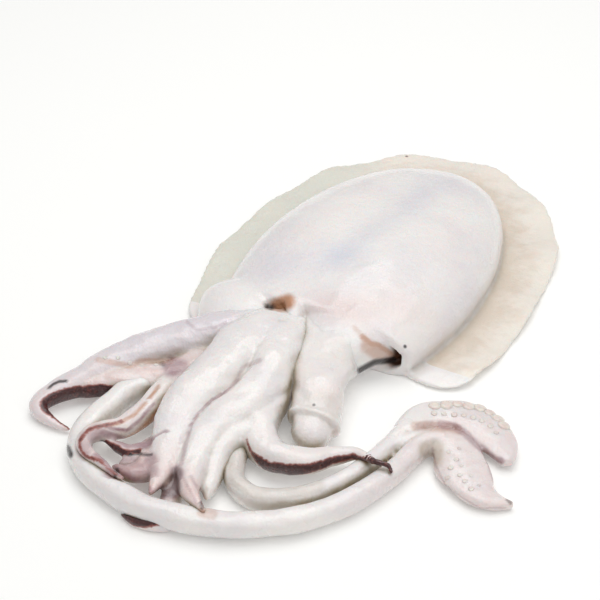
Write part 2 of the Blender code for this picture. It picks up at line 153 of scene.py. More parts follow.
# The rolled rim round the mouth: how far ahead of the last station, how far out from its edge
FUNNEL_RIM = (
    (0.6, 0.3), (1.6, 0.9), (2.8, 1.1), (3.8, 0.6), (4.3, -0.4), (4.2, -1.4), (3.4, -2.2),
    (2.4, -2.8),
)
FUNNEL_RIM_TILT = -2.8  # how much further the rim reaches on its left than in the middle, here less far
# The inner tube that shows in the funnel's mouth: x, y, z
TONGUE = ((27.5, -108, 10.2), (31, -119, 9.6), (34, -127.5, 8.2), (36.5, -134, 6.6), (38.5, -139, 5.2))
TONGUE_HALF_WIDTH = 9.2
TONGUE_HALF_HEIGHT = 7.4
TONGUE_TAPER = 7
TONGUE_SEGMENTS = 48
FUNNEL_SEGMENTS = 64
FUNNEL_BLUSH = ((90, 104), (-124, -116))  # where the pink starts and fades again along the funnel

# Arms: route, half width, half height, and the power of the taper towards the tip
ARMS = {
    "far_left": (
        ((-22, -66, 13), (-35, -88, 15.5), (-48, -100, 14.5), (-59, -109, 12.5), (-69, -121, 10.5),
         (-77, -134, 9), (-83, -147, 7.5), (-89, -158, 6.5), (-92, -166, 5), (-89, -171, 4),
         (-79, -174, 3), (-70, -174, 2)),
        10.2, 8.8, 2.6,
    ),
    "far_left_fold": (
        ((-28, -100, 11.5), (-40, -117, 9.2), (-49, -125.5, 7.8), (-58, -132, 7), (-68, -139, 7),
         (-78, -147, 6.6), (-86, -155, 6), (-90, -163, 5)),
        7.4, 6.2, 4,
    ),
    "left": (
        ((-34, -105, 9), (-40, -123, 9), (-41, -137, 9), (-41, -147, 9), (-42, -160, 9),
         (-44, -169, 10), (-49, -176, 11.5), (-52, -183, 12.5), (-50, -190, 13), (-44, -194, 13),
         (-37, -196, 12.8), (-29, -199, 12.6), (-22, -200, 12.4)),
        5.8, 5.2, 2.2,
    ),
    "under_left": (
        ((-10, -150, 8), (-23, -172, 8), (-29, -176, 7.5), (-33, -179, 7.5), (-39, -179, 8),
         (-47, -179, 9)),
        4.4, 4.2, 3,
    ),
    "curled": (
        ((-14, -150, 9), (-16, -166, 8.5), (-18, -180, 8), (-20, -188, 8), (-26, -192, 8),
         (-34, -191, 8)),
        8, 5.6, 3.2,
    ),
    "front_left": (
        ((-14, -64, 13), (-16, -79, 17), (-19, -97, 18), (-20, -112, 17.3), (-20.5, -127, 16.3),
         (-22, -140, 15), (-22, -152, 13.5), (-19.5, -163, 12), (-15.5, -174, 11), (-11.5, -184, 10.5),
         (-8.5, -194, 10.5), (-7, -202, 11)),
        13.6, 9.6, 3.4,
    ),
    "front": (
        ((-7, -64, 13), (-4.5, -83, 17), (-0.5, -98, 17), (2.5, -112, 16), (3, -124, 15), (1.2, -136, 13.5),
         (-2.5, -147, 12.2), (-4, -160, 10.6), (-2, -173, 9.6), (3, -185, 10), (10, -195, 12),
         (21, -202, 13)),
        10.8, 9.6, 3.4,
    ),
    "bent": (
        ((8, -118, 9), (9, -134, 10), (8.5, -145, 10.8), (6, -152, 10.6), (4.3, -160, 9.2),
         (6, -169, 7.6), (10, -180, 6.2), (13, -188, 5)),
        5.8, 5.4, 7,
    ),
    "right": (
        ((-4, -66, 12), (-2, -86, 13.5), (2.5, -103, 12.6), (6.5, -119, 11), (9.5, -133, 10),
         (15, -144, 9.2), (24, -151, 8.8), (34, -151.5, 8.5), (43, -147, 8.2), (50, -139, 8),
         (58, -134, 9), (65, -135.5, 11.3), (71, -138, 12.6)),
        9.6, 9.2, 2.9,
    ),
    "right_thread": (
        ((66, -136, 11.6), (71, -138.4, 13.2), (75, -138.6, 13.8), (78.5, -138.4, 13.2), (81, -141, 11.6)),
        0.5, 0.5, 6,
    ),
    "curled_web": (
        ((-14, -158, 7), (-22, -170, 6.5), (-28, -180, 6), (-33, -188, 6)),
        9.5, 3.6, 3,
    ),
    "web": (
        ((-8, -62, 12), (-8, -85, 15), (-8, -102, 15), (-9, -116, 12.5)),
        12, 10, 5,
    ),
    "under_front": (
        ((-6, -165, 6), (-3, -187, 4.5), (0, -198, 3.4), (5, -206, 3.2), (-1, -210, 3),
         (-9, -212, 2.4), (-18, -210, 1.6)),
        5, 4.2, 2.2,
    ),
}
ARM_TIP = 0.9
ARM_ROOT = 0.7
ARM_ROOT_SHARE = 0.14
ARM_SEGMENTS = 40
ARM_RING_SPACING = 1.6
LIMB_UNEVEN = 0.11

# How lilac and how pink each limb is at its root and at its tip
TINTS = {
    "far_left": (1.0, 0.15, 0.8, 0.45),
    "far_left_fold": (0.3, 0.8, 0.3, 0.85),
    "left": (0.05, 0.25, 0.35, 0.6),
    "under_left": (0.4, 0.5, 0.4, 0.6),
    "curled": (0.5, 0.9, 0.6, 1.1),
    "front_left": (0.15, 0.06, 0.3, 1.0),
    "front": (0.12, 0.05, 0.2, 1.0),
    "bent": (0.1, 0.05, 0.0, 0.05),
    "right": (0.12, 0.08, 0.12, 0.25),
    "right_thread": (0.3, 0.3, 0.3, 0.3),
    "curled_web": (0.5, 0.4, 0.35, 0.35),
    "web": (0.2, 0.05, 0.2, 0.05),
    "under_front": (0.3, 0.3, 0.4, 0.6),
}

# Where the dark back skin shows: share of the length, then the angle where it starts and ends.
# The angle runs from the limb's right side, seen from above towards its tip, over the top.
DARK_SKIN = {
    "far_left": (
        (0.6, 222, 224), (0.66, 166, 226), (0.72, 148, 230), (0.77, 134, 232), (0.81, 124, 228),
        (0.85, 108, 215), (0.88, 88, 190), (0.91, 84, 140), (0.95, 118, 140), (1, 80, 280),
    ),
    "far_left_fold": (
        (0.14, 212, 218), (0.28, 204, 224), (0.38, 204, 226), (0.48, 200, 222), (0.54, 178, 222),
        (0.62, 158, 228), (0.7, 140, 232), (0.77, 136, 236), (0.85, 140, 250), (1, 140, 260),
    ),
    "left": (
        (0.55, 96, 104), (0.6, 100, 116), (0.65, 92, 114), (0.7, 84, 104), (0.74, 66, 88), (0.78, 26, 50),
        (0.82, 6, 34), (0.85, 30, 74), (0.88, 62, 84), (0.93, 66, 80), (1, 60, 84),
    ),
    "under_left": ((0.46, 178, 184), (0.55, 130, 250), (0.8, 120, 260), (1, 90, 270)),
    "right": (
        (0.582, 40, 41), (0.62, 8, 22), (0.641, -14, 24), (0.662, -54, 20), (0.694, -50, 26),
        (0.727, -42, 30), (0.759, -14, 31), (0.801, -8, 36), (0.855, -8, 36), (0.908, -14, 30),
        (0.951, -56, 22), (0.994, -80, 6), (1, -120, 30),
    ),
    "right_thread": ((0, -180, 180), (1, -180, 180)),
    "under_front": ((0.6, 60, 70), (0.7, 0, 150), (1, -60, 240)),
}
# The orange brown band along the underside of one arm, in the same terms
RUST_BAND = {
    "left": ((0.26, 125, 160), (0.39, 155, 195), (0.49, 180, 222), (0.56, 205, 250)),
}
PINK_ENDS = ("front_left", "front")  # arms that are pink at the very end only
SKIN_AWAY = -6.0  # value of the skin mark, in mm outside its edge, where there is none

# Stains, thin lines and painted shade on the flesh, by kind: half width, strength, then the points of the
# line
STAINS_AND_SHADE = {
    # Plum is partly the purple of the skin and of the clubs' edges, partly painted shade: the first three
    # lines darken the crease between the two front arms
    "plum": (
        (1.0, 0.35, ((-2, -112, 26), (-7, -120, 25), (-5, -128, 24), (-6, -135, 23))),
        (0.6, 0.75, ((-5, -128, 24), (-6, -137, 23), (-10, -143, 21), (-12, -151, 19), (-11, -161, 18))),
        (0.9, 0.5, ((-11, -161, 18), (-7, -172, 16), (-3, -182, 15), (-3, -187, 13))),
        (0.7, 0.3, ((-51, -98, 23), (-43, -102, 23), (-36, -97, 24), (-33, -91, 24))),
        (4.2, 0.75, ((-44, -124, 15), (-37, -129, 19))),
        (0.5, 0.45, ((3, -190, 15), (11, -196, 15), (16, -200, 14))),
        (0.5, 0.4, ((5, -187, 15), (12, -192, 14), (18, -199, 14))),
        (0.7, 0.85, ((-38, -150, 13), (-38, -162, 12), (-39, -171, 12), (-44, -175, 14), (-47, -177, 16))),
        (3.0, 0.8, ((-6, -192, 6), (-2, -190, 6), (-4, -186, 7), (-6, -180, 8))),
        (1.6, 0.75, ((-22, -163, 12), (-28, -172, 9), (-35, -176, 9), (-42, -177, 11), (-48, -177, 12))),
        (3.4, 0.55, ((-49, -181, 14), (-50, -188, 15), (-47, -194, 14))),
        (4.4, 0.6, ((-31, -193, 9), (-26, -188, 8), (-18, -190, 9))),
        (1.3, 0.8, ((-41, -193, 13), (-32, -195, 12), (-25, -196, 11), (-16, -197, 10), (-9, -197, 9))),
        (3.2, 0.6, ((-20, -180, 9), (-15, -186, 9), (-12, -192, 9))),
        (0.35, 0.4, ((110, -103, 7), (115.5, -111, 6), (122.5, -120.5, 5), (132, -125, 5))),
        (0.35, 0.45, ((88, -112, 8), (94, -121, 6), (102, -129, 4.6), (113, -133, 4), (121, -134, 3),
                      (131, -129, 3.4))),
        (1.6, 0.3, ((76, -101, 8), (81, -96, 7.6), (86, -93, 7.3))),
        (1.6, 0.65, ((84, -94, 7.3), (90, -92, 7), (95, -93, 6.4), (99, -95, 6), (106, -98, 5),
                    (115, -102, 3.5), (118, -103, 5.3))),
    ),
    "rust": (
        (1.2, 0.5, ((-78, -137, 16), (-70, -134, 15), (-63, -132, 14), (-61, -126, 14), (-52, -125, 16),
                    (-46, -122, 16))),
        (1.8, 0.5, ((75, -103, 9), (77, -100, 8), (82, -97, 7.5), (88, -94, 7.3), (93, -93.5, 7))),
        (0.8, 0.8, ((-43, -137.5, 13), (-41.5, -151.2, 13), (-41.6, -161.3, 13), (-44.1, -168.4, 13),
                    (-48.2, -173, 13))),
        (1.0, 0.3, ((25, -66, 25), (31, -69, 23.4))),
        (1.3, 0.7, ((31, -69, 23.4), (35, -69, 20.6), (38, -66, 18.6), (41, -64, 15.6), (43, -61, 11.6))),
        (3.2, 0.5, ((34, -69, 18.6), (38, -68, 15.6), (41, -65, 12.6), (43, -60, 8))),
        (3.4, 0.9, ((-19, -64, 22), (-14, -62, 25))),
        (1.8, 0.5, ((25, -202, 13), (20, -203, 13))),
    ),
    # Dark lines are partly real black specks, partly painted shade: black in the slot under the funnel's
    # root, in the core of the hole by the neck and in gaps between the limbs
    "dark": (
        (0.8, 0.5, ((-50, -125, 15.5), (-48, -125, 15.3))),
        (0.6, 0.9, ((-91, -160, 10), (-90, -158, 11), (-88, -156, 12), (-85, -154, 12))),
        (0.8, 0.7, ((17.5, -199, 14), (19.5, -201.5, 14))),
        (1.6, 1.0, ((-59, -190, 7.3), (-55, -194, 8.7))),
        (1.0, 1.0, ((-46, -182, 10), (-42, -182, 9), (-36, -181, 8), (-31, -180, 8))),
        (0.5, 0.8, ((-31, -180, 8), (-28, -178, 8), (-22, -176, 9))),
        (0.9, 0.8, ((-30, -193, 9), (-28, -196, 9))),
        (2.2, 0.5, ((-6, -192, 6), (-2, -190, 6), (-4, -186, 7), (-6, -180, 8))),
        (1.5, 1.0, ((34, -77, 9), (36, -74, 10), (38, -69, 10), (41, -63, 8), (43, -58, 6))),
        (1.2, 0.9, ((-23, -67, 22), (-20, -68, 23))),
        (0.7, 0.6, ((130, -125, 4.6), (132, -126, 4.4))),
    ),
    # Painted shade: olive laid where the flesh lies in shade, as along the inner tentacle
    "crowd": (
        (3.5, 0.6, ((86, -114, 7.6), (90, -115, 5.7), (89, -111, 7.5))),
        (5.0, 0.1, ((23, -83, 23), (28, -82, 21.5), (32, -79, 17))),
        (5.0, 0.15, ((32, -123, 19), (34, -117, 19), (39, -121, 17))),
        (4.0, 0.35, ((13, -163, 9), (20, -172, 9), (32, -176, 9), (44, -170, 9), (53, -161, 9))),
    ),
}
# The stains soak in from the side that they lie on, and reach this deep
STAIN_SIDE = (0.3845, -0.7231, 0.5735)
STAIN_DEPTH = 10

# Single dark flecks: place and radius
BELLY_FLECKS = (
    (-37, 132, 4.2, 0.9), (45, 79, 11.6, 0.9), (50, -60, 18.1, 0.8), (-80, -47, 5, 1.0), (-86, 66, 3, 0.8),
)
LIMB_FLECKS = ((32, -122, 19.4, 0.8),)

# Rows of suckers: radius, then the places that they stand nearest to
SUCKERS = (
    (3.1, ((77, -85, 8), (81.5, -81.5, 8), (86, -78.5, 7.5), (91, -76.5, 7), (96, -75, 6.6),
           (101, -75.5, 6.2), (106, -77.5, 6), (110.5, -81, 6))),
    (1.6, ((79, -90, 9), (83, -88, 9), (87.5, -86.5, 9), (92, -84.5, 9), (96.5, -83.5, 8.8),
           (101, -84, 8.5), (105.5, -85.5, 8.2), (110, -88, 8))),
    (1.3, ((96, -112, 8.5), (101, -115, 8.4), (101, -121, 7.8), (102, -126, 6.6), (106, -123, 7.9),
           (110, -126, 7.8), (114, -129, 7))),
    (0.9, ((99, -108, 8.4), (105, -118, 8.2), (111, -121, 7.6), (116, -125, 7))),
    (1.2, ((-75, -135, 16), (-70, -132, 15), (-64, -129.5, 14), (-60, -126.5, 14), (-53, -124.5, 15.5))),
)


# Tentacles: the stalk's route and radius, then the club's route and shape
TENTACLES = {
    "outer": {
        "stalk": (
            (-22, -87, 8), (-39, -111, 7), (-57, -137, 6.4), (-60, -153, 6.2), (-61, -167, 6.2),
            (-59, -180, 6.2), (-52, -190, 6.2), (-39, -199, 6.2), (-23, -204, 6.2), (-5, -206, 6.4),
            (12, -204, 6.6), (29, -199, 6.6), (44, -190, 6.4), (56, -180, 6.2), (66, -166, 6),
            (73, -152, 5.8), (78, -136, 5.6), (80, -121, 5.4), (83, -109, 5.2), (89, -102, 4.8),
        ),
        "radius": 6.6,
        "club": (
            (83, -109, 5.2), (88, -103, 4.6), (97, -106, 4.4), (104, -115, 4.2), (111, -121, 4.2),
            (118, -126, 3.8), (125, -127, 3), (133, -125, 2.4),
        ),
        "leaf_width": 8.4, "skew": 0.95, "roundness": 1.0,
    },
    "inner": {
        "stalk": (
            (-2, -103, 8), (3, -129, 6.5), (8, -149, 5.4), (13, -163, 5.2), (20, -173, 5.2),
            (32, -177, 5.2), (44, -171, 5.2), (53, -162, 5.2), (61, -148, 5.2), (66, -133, 5.2),
            (69, -118, 5), (70, -105, 4.8), (73, -94, 4.8),
        ),
        "radius": 5.5,
        "club": (
            (70, -105, 4.8), (74, -92, 4.8), (81, -86, 4.6), (91, -82, 4.6), (101, -84.5, 4.6),
            (111, -90, 4.4), (117, -96, 4.2), (121, -102, 4),
        ),
        "leaf_width": 8.4, "skew": 1.5, "roundness": 0.5,
    },
}
STALK_TAPER = 0.2
STALK_WEB = ((66, -122, 3.6), (73, -112, 4), (80, -103, 4.4), (86, -99, 4.2))
STALK_WEB_SIZE = 4.4
CLUB_HALF_HEIGHT = 4.6
CLUB_RING_SPACING = 1.2
TENTACLE_SEGMENTS = 32
CLUB_SEGMENTS = 48
CLUB_BLUSH = (66, 92)  # x where the stalks start to turn to the clubs' colour, and where they have it

# Rings of a sucker: how far out and how high, in its own radius
SUCKER_PROFILE = ((1.0, -0.6), (1.02, -0.08), (0.9, 0.13), (0.66, 0.25), (0.42, 0.26), (0.2, 0.2))
SUCKER_SHIFT = 1.1  # how far a sucker may stand from its place in the row
SUCKER_UNEVEN = 0.35
SUCKER_SEGMENTS = 10

# How light goes through and off wet flesh. The subsurface scale is in metres.
WET_FLESH = {
    "Subsurface Weight": 0.35,
    "Subsurface Radius": (1.0, 0.55, 0.42),
    "Subsurface Scale": 0.004,
    "Specular IOR Level": 0.5,
    "Coat Weight": 0.5,
    "Coat Roughness": 0.1,
}

# Stage, in metres. Lights: name, place, size and watts
LIGHTS = (
    ("window", (-0.08, 0.15, 1.25), 1.1, 8.4),
    ("fill", (0.7, -0.5, 1.0), 0.9, 3.0),
    ("glint", (-0.25, 0.55, 0.85), 0.22, 0.4),
)
LIGHTS_AIM = Vector((0, -0.05, 0))
ROOM_LIGHT = 0.46
TABLE_SIZE = 4.0
TABLE_BELOW = 0.0002  # how far the table lies under the flesh
TABLE_PALER = (0.88, 0.88, 0.86)
TABLE_GLOW = 0.13
CAMERA_PLACE = (0.2817, -0.6051, 0.4589)
CAMERA_AIM = Vector((-0.0260, -0.0265, 0))
CAMERA_LENS = 90.57  # millimetres, on a sensor of the width below
CAMERA_SENSOR = 36


def srgb(red, green, blue):
    """A colour from 0 to 255 as a screen shows it, as the linear values that a shader takes."""
    values = [c / 255 for c in (red, green, blue)]
    return tuple(c / 12.92 if c <= 0.04045 else ((c + 0.055) / 1.055) ** 2.4 for c in values)


def length_property(name, description, default):
    return bpy.props.FloatProperty(name=name, description=description, default=default, unit="LENGTH")


def colour_property(name, description, default):
    return bpy.props.FloatVectorProperty(
        name=name, description=description, default=default, subtype="COLOR", size=3, min=0, max=1
    )


class CuttlefishSizes(bpy.types.PropertyGroup):
    """Main sizes of the animal and the grain of its fine skin."""

    mantle_half_width: length_property("Mantle half width", "From the middle to the fin's root", 0.063)
    mantle_tail: length_property("Tail", "Distance from the origin to the mantle's tail", 0.115)
    mantle_front: length_property("Front", "Distance from the origin to the open front", 0.064)
    mantle_height: length_property("Mantle height", "Height of the belly before it sags", 0.035)
    mantle_wall: length_property("Mantle wall", "Thickness of the bag's wall", 0.0042)
    fin_width: length_property("Fin width", "How far the fin stands out at the sides", 0.026)
    fin_thickness: length_property("Fin thickness", "Thickness at the middle of the fin", 0.0034)
    body_grain: length_property("Body grain", "Size of the faces of the body's skin", 0.00112)
    arm_grain: length_property("Arm grain", "Size of the faces of the arms' skin", 0.00092)
    tentacle_grain: length_property("Tentacle grain", "Size of the faces on the tentacles", 0.00078)


class CuttlefishColours(bpy.types.PropertyGroup):
    """Colours of the flesh, the skin, the painted shade and the table."""

    white: colour_property("Flesh", "Milky white of the belly and the arms", srgb(239, 235, 232))
    lilac: colour_property("Lilac", "Cool shade in the thin parts", srgb(221, 216, 221))
    pink: colour_property("Pink", "Blush at margins and tips", srgb(226, 203, 198))
    blue: colour_property("Blue", "Bluish cast of the sagging belly", srgb(214, 215, 224))
    cream: colour_property("Fin rim", "Yellowish cream at the fin's edge", srgb(238, 230, 220))
    # Partly the fin's own tint, partly painted shade: the fin is darker tan where it lies beside the mantle
    tan: colour_property("Fin root", "Tan of the fin beside the mantle", srgb(219, 206, 191))
    # Painted shade: the fin's left side, which lies in shade, is darkened to this greenish grey
    far_fin_shade: colour_property("Far fin", "Greenish grey of the thin fin on the left", srgb(221, 220, 209))
    # Painted shade: this olive darkens the creases and the places that other flesh crowds round
    crease: colour_property("Crease", "Olive shade in the creases", srgb(158, 143, 112))
    # Partly the skin's own purple grey, partly painted shade in the folds between the arms
    plum: colour_property("Plum", "Purple grey of the folds between the arms", srgb(140, 92, 104))
    rust: colour_property("Rust", "Orange brown bands under the arms", srgb(184, 124, 80))
    sucker: colour_property("Suckers", "Beige of the suckers' rims", srgb(234, 224, 214))
    cavity: colour_property("Cavity", "Brown inside the open bag", srgb(96, 56, 34))
    skin: colour_property("Dark skin", "Maroon skin of the back of the arms", srgb(66, 26, 28))
    skin_edge: colour_property("Skin edge", "Red brown where the dark skin thins", srgb(150, 84, 74))
    # Also the black of the painted shade in slots, holes and gaps
    speck_and_gap_shade: colour_property("Specks", "Small dark flecks", srgb(34, 24, 23))
    table: colour_property("Table", "Pale table top", (0.87, 0.87, 0.85))


def smooth_curve(points, t):
    """The value at t, from 0 to 1, of a smooth curve through points that hold any number of values."""
    spans = len(points) - 1
    at = min(max(t, 0) * spans, spans - 1e-9)
    i = int(at)
    u = at - i
    before, here, ahead = points[max(i - 1, 0)], points[i], points[i + 1]
    after = points[min(i + 2, spans)]
    return tuple(
        0.5 * (2 * b + (c - a) * u + (2 * a - 5 * b + 4 * c - d) * u**2 + (3 * b - a - 3 * c + d) * u**3)
        for a, b, c, d in zip(before, here, ahead, after)
    )


def even_stations(points, spacing):
    """Points of the smooth curve about one spacing apart, each with its share of the length."""
    steps = 400
    fine = [smooth_curve(points, i / steps) for i in range(steps + 1)]
    travelled = [0.0]
    for here, ahead in zip(fine, fine[1:]):
        travelled.append(travelled[-1] + math.dist(here[:3], ahead[:3]))
    count = max(4, round(travelled[-1] / spacing))
    stations = []
    j = 0
    for k in range(count + 1):
        target = travelled[-1] * k / count
        while j < steps - 1 and travelled[j + 1] < target:
            j += 1
        part = min(1, (target - travelled[j]) / max(travelled[j + 1] - travelled[j], 1e-9))
        stations.append((k / count, tuple(a + (b - a) * part for a, b in zip(fine[j], fine[j + 1]))))
    return stations


def between(table, share):
    """Values of a table of (share, values...) rows at a share, on straight lines between rows."""
    if share <= table[0][0]:
        return table[0][1:]
    for low, high in zip(table, table[1:]):
        if share <= high[0]:
            part = (share - low[0]) / (high[0] - low[0])
            return tuple(a + (b - a) * part for a, b in zip(low[1:], high[1:]))
    return table[-1][1:]


def eased(value, low, high):
    """0 below low, 1 above high and a smooth step between them."""
    part = min(max((value - low) / (high - low), 0), 1)
    return part * part * (3 - 2 * part)


def squarish(value, power=0.86):
    """A circle's coordinate moved out, so that a section is a little squarer than an ellipse."""
    return math.copysign(abs(value) ** power, value)


def start_mesh(*marks):
    """An empty bmesh with a named value on each vertex for every mark."""
    bm = bmesh.new()
    for mark in marks:
        bm.verts.layers.float.new(mark)
    return bm


def add_ring(bm, segments, place, paint=None):
    """A ring of edges whose points place(cosine, sine) puts in space and paint(angle) marks."""
    made = bmesh.ops.create_circle(bm, segments=segments, radius=1.0)
    for vert in made["verts"]:
        across, high = vert.co.x, vert.co.y
        vert.co = Vector(place(across, high)) * MM
        if paint:
            for mark, value in paint(math.degrees(math.atan2(high, across))).items():
                vert[bm.verts.layers.float[mark]] = value
    return list({edge for vert in made["verts"] for edge in vert.link_edges})


def add_loft(bm, segments, places, paints=None):
    """A closed body through rings. Each ring has a place, and may have a paint."""
    paints = paints or [None] * len(places)
    rings = [add_ring(bm, segments, place, paint) for place, paint in zip(places, paints)]
    for first, second in zip(rings, rings[1:]):
        bmesh.ops.bridge_loops(bm, edges=first + second)
    bmesh.ops.holes_fill(bm, edges=rings[0] + rings[-1])


def add_ellipsoid(bm, centre, half_sizes):
    made = bmesh.ops.create_uvsphere(bm, u_segments=72, v_segments=36, radius=1.0)
    bmesh.ops.scale(bm, verts=made["verts"], vec=Vector(half_sizes) * MM)
    bmesh.ops.translate(bm, verts=made["verts"], vec=Vector(centre) * MM)


def limb_frames(stations):
    """Place, side and upward direction of each station of a limb."""
    points = [Vector(point[:3]) for _, point in stations]
    frames = []
    for i, point in enumerate(points):
        ahead = points[min(i + 1, len(points) - 1)] - points[max(i - 1, 0)]
        side = ahead.cross(UP).normalized()
        frames.append((point, side, side.cross(ahead).normalized()))
    return frames


def uneven(at, across, high):
    """Slight swelling and thinning along and round a limb, which isn't a plain tube."""
    place = Vector((across, high, 0)) * 0.8 + at / 20
    return 1 + LIMB_UNEVEN * (noise.noise(place) + 0.5 * noise.noise(place * 2.4))


def limb_places(stations, half_width, half_height):
    """Ring places along stations. Both half sizes are functions of the share of the length."""
    places = []
    for (share, _), (at, side, over) in zip(stations, limb_frames(stations)):

        def place(across, high, at=at, side=side, over=over, share=share):
            wide = side * squarish(across) * half_width(share)
            tall = over * squarish(high) * half_height(share)
            return at + (wide + tall) * uneven(at, across, high)

        places.append(place)
    return places


def taper(size, power):
    """Half size along a limb: a narrower root, the full size, and a taper to the tip."""

    def half_size(share):
        root = min(1, ARM_ROOT + (1 - ARM_ROOT) * share / ARM_ROOT_SHARE)
        return size * root * (1 - share**power) + ARM_TIP

    return half_size


def inside_strip(table, share, angle, radius):
    """How far, in mm, a place on a limb is inside a strip, or outside it where negative."""
    start, end = between(table, share)
    middle = (start + end) / 2
    angle = middle + (angle - middle + 180) % 360 - 180
    edge = math.radians(min(angle - start, end - angle)) * radius
    return min(edge, (share - table[0][0]) * 200)


def wrap_in_skin(bm, name, grain, smoothing):
    """Join the closed bodies of a bmesh under one fine even skin that carries their marks."""
    bmesh.ops.recalc_face_normals(bm, faces=bm.faces[:])
    marks = list(bm.verts.layers.float.keys())
    layers = [bm.verts.layers.float[mark] for mark in marks]
    bm.verts.ensure_lookup_table()
    values = [[vert[layer] for layer in layers] for vert in bm.verts]
    tree = kdtree.KDTree(len(bm.verts))
    for i, vert in enumerate(bm.verts):
        tree.insert(vert.co, i)
    tree.balance()
    source = bpy.data.meshes.new(name + "_source")
    bm.to_mesh(source)
    bm.free()
    obj = bpy.data.objects.new(name, source)
    bpy.context.scene.collection.objects.link(obj)
    modifier = obj.modifiers.new("skin", "REMESH")
    modifier.mode = "VOXEL"
    modifier.voxel_size = grain
    graph = bpy.context.evaluated_depsgraph_get()
    obj.data = bpy.data.meshes.new_from_object(obj.evaluated_get(graph))
    obj.modifiers.clear()
    bpy.data.meshes.remove(source)
    smooth_skin(obj.data, smoothing)
    if marks:
        carried = []
        for vert in obj.data.vertices:
            near = tree.find_n(vert.co, 4)
            weights = [1 / (distance + 0.0002) ** 2 for _, _, distance in near]
            total = sum(weights)
            rows = [values[index] for _, index, _ in near]
            carried.append([sum(w * row[k] for w, row in zip(weights, rows)) / total
                            for k in range(len(marks))])
        for k, mark in enumerate(marks):
            set_mark(obj.data, mark, [row[k] for row in carried])
    obj.data.name = name
    return obj


def smooth_skin(mesh, times):
    bm = bmesh.new()
    bm.from_mesh(mesh)
    for _ in range(times):
        bmesh.ops.smooth_vert(
            bm, verts=bm.verts[:], factor=0.5, use_axis_x=True, use_axis_y=True, use_axis_z=True
        )
    bmesh.ops.recalc_face_normals(bm, faces=bm.faces[:])
    bm.to_mesh(mesh)
    bm.free()


def set_mark(mesh, mark, values):
    attribute = mesh.attributes.get(mark) or mesh.attributes.new(mark, "FLOAT", "POINT")
    attribute.data.foreach_set("value", np.asarray(values, np.float32))


def numbers_of(mesh, group, field, width):
    items = getattr(mesh, group)
    kind = np.int32 if field == "vertices" else np.float32
    flat = np.zeros(len(items) * width, kind)
    items.foreach_get(field, flat)
    return flat.reshape(-1, width)


def neighbour_mean(values, edges):
    """The mean of each vertex's neighbours, for one value or one vector a vertex."""
    total = np.zeros_like(values)
    count = np.zeros(len(values))
    for a, b in ((0, 1), (1, 0)):
        np.add.at(total, edges[:, a], values[edges[:, b]])
        np.add.at(count, edges[:, a], 1)
    return total / np.maximum(count, 1).reshape((-1,) + (1,) * (values.ndim - 1))


def mark_crease_shade(mesh, spread):
    """Mark how hollow the skin is at each vertex, from 0 to 1, spread over some neighbours, for the shade
    painted into the creases.
    """
    at = numbers_of(mesh, "vertices", "co", 3).astype(float)
    normal = numbers_of(mesh, "vertices", "normal", 3).astype(float)
    edges = numbers_of(mesh, "edges", "vertices", 2)
    step = np.mean(np.linalg.norm(at[edges[:, 0]] - at[edges[:, 1]], axis=1))
    hollow = np.einsum("ij,ij->i", neighbour_mean(at, edges) - at, normal) / step
    for _ in range(spread):
        hollow = 0.5 * hollow + 0.5 * neighbour_mean(hollow, edges)
    set_mark(mesh, "crease", np.clip((hollow - 0.02) / 0.13, 0, 1))


def settle(mesh, swell, size, seed):
    """Uneven the skin a little, as soft flesh is, and rest it flat on the table."""
    shift = Vector((seed * 7.3, seed * 3.1, seed * 1.7))
    at = numbers_of(mesh, "vertices", "co", 3)
    normal = numbers_of(mesh, "vertices", "normal", 3)
    uneven = [
        noise.noise(Vector(place) / size + shift) + 0.4 * noise.noise(Vector(place) / size * 2.7 - shift)
        for place in at
    ]
    at += normal * swell * np.array(uneven)[:, None]
    at[:, 2] = np.maximum(at[:, 2], 0)
    mesh.vertices.foreach_set("co", at.ravel())
    mesh.update()


def stain_and_shade_lines(at, lines):
    """How strongly the lines of one kind of stain or painted shade cover each place."""
    side = np.array(STAIN_SIDE)
    cover = np.zeros(len(at))
    for half_width, strength, line in lines:
        line = np.array(line, float)
        near = np.all((at > line.min(0) - STAIN_DEPTH) & (at < line.max(0) + STAIN_DEPTH), axis=1)
        if not near.any():
            continue
        distance = np.full(near.sum(), 99.0)
        for start, end in zip(line, line[1:]):
            offset, along = at[near] - start, end - start
            deep = offset @ side
            offset = offset - np.outer(deep, side)
            along = along - (along @ side) * side
            part = np.clip(offset @ along / (along @ along), 0, 1)
            here = np.linalg.norm(offset - np.outer(part, along), axis=1)
            distance = np.minimum(distance, np.where(np.abs(deep) < STAIN_DEPTH, here, 99.0))
        fade = np.clip((half_width * 1.6 - distance) / half_width, 0, 1)
        cover[near] = np.maximum(cover[near], strength * fade * fade * (3 - 2 * fade))
    return cover


def paint_stains_and_shade(mesh):
    """Mark the stains and the painted shade of each kind on the flesh that faces the side they soak in from.
    """
    at = numbers_of(mesh, "vertices", "co", 3) / MM
    facing = numbers_of(mesh, "vertices", "normal", 3) @ np.array(STAIN_SIDE)
    for kind, lines in STAINS_AND_SHADE.items():
        set_mark(mesh, kind, stain_and_shade_lines(at, lines) * np.clip(facing * 4 + 0.6, 0, 1))


def press_notch(mesh):
    """Press the small hole beside the neck into the skin, and mark how deep each place is in it."""
    at = numbers_of(mesh, "vertices", "co", 3) / MM
    (x, y), (across, along), depth = NOTCH
    inside = np.clip(1 - np.hypot((at[:, 0] - x) / across, (at[:, 1] - y) / along), 0, 1)
    sunk = np.where(at[:, 2] > NOTCH_LEVEL, inside**0.6, 0)
    at[:, 2] -= depth * sunk
    mesh.vertices.foreach_set("co", (at * MM).ravel())
    mesh.update()
    set_mark(mesh, "hole", sunk)


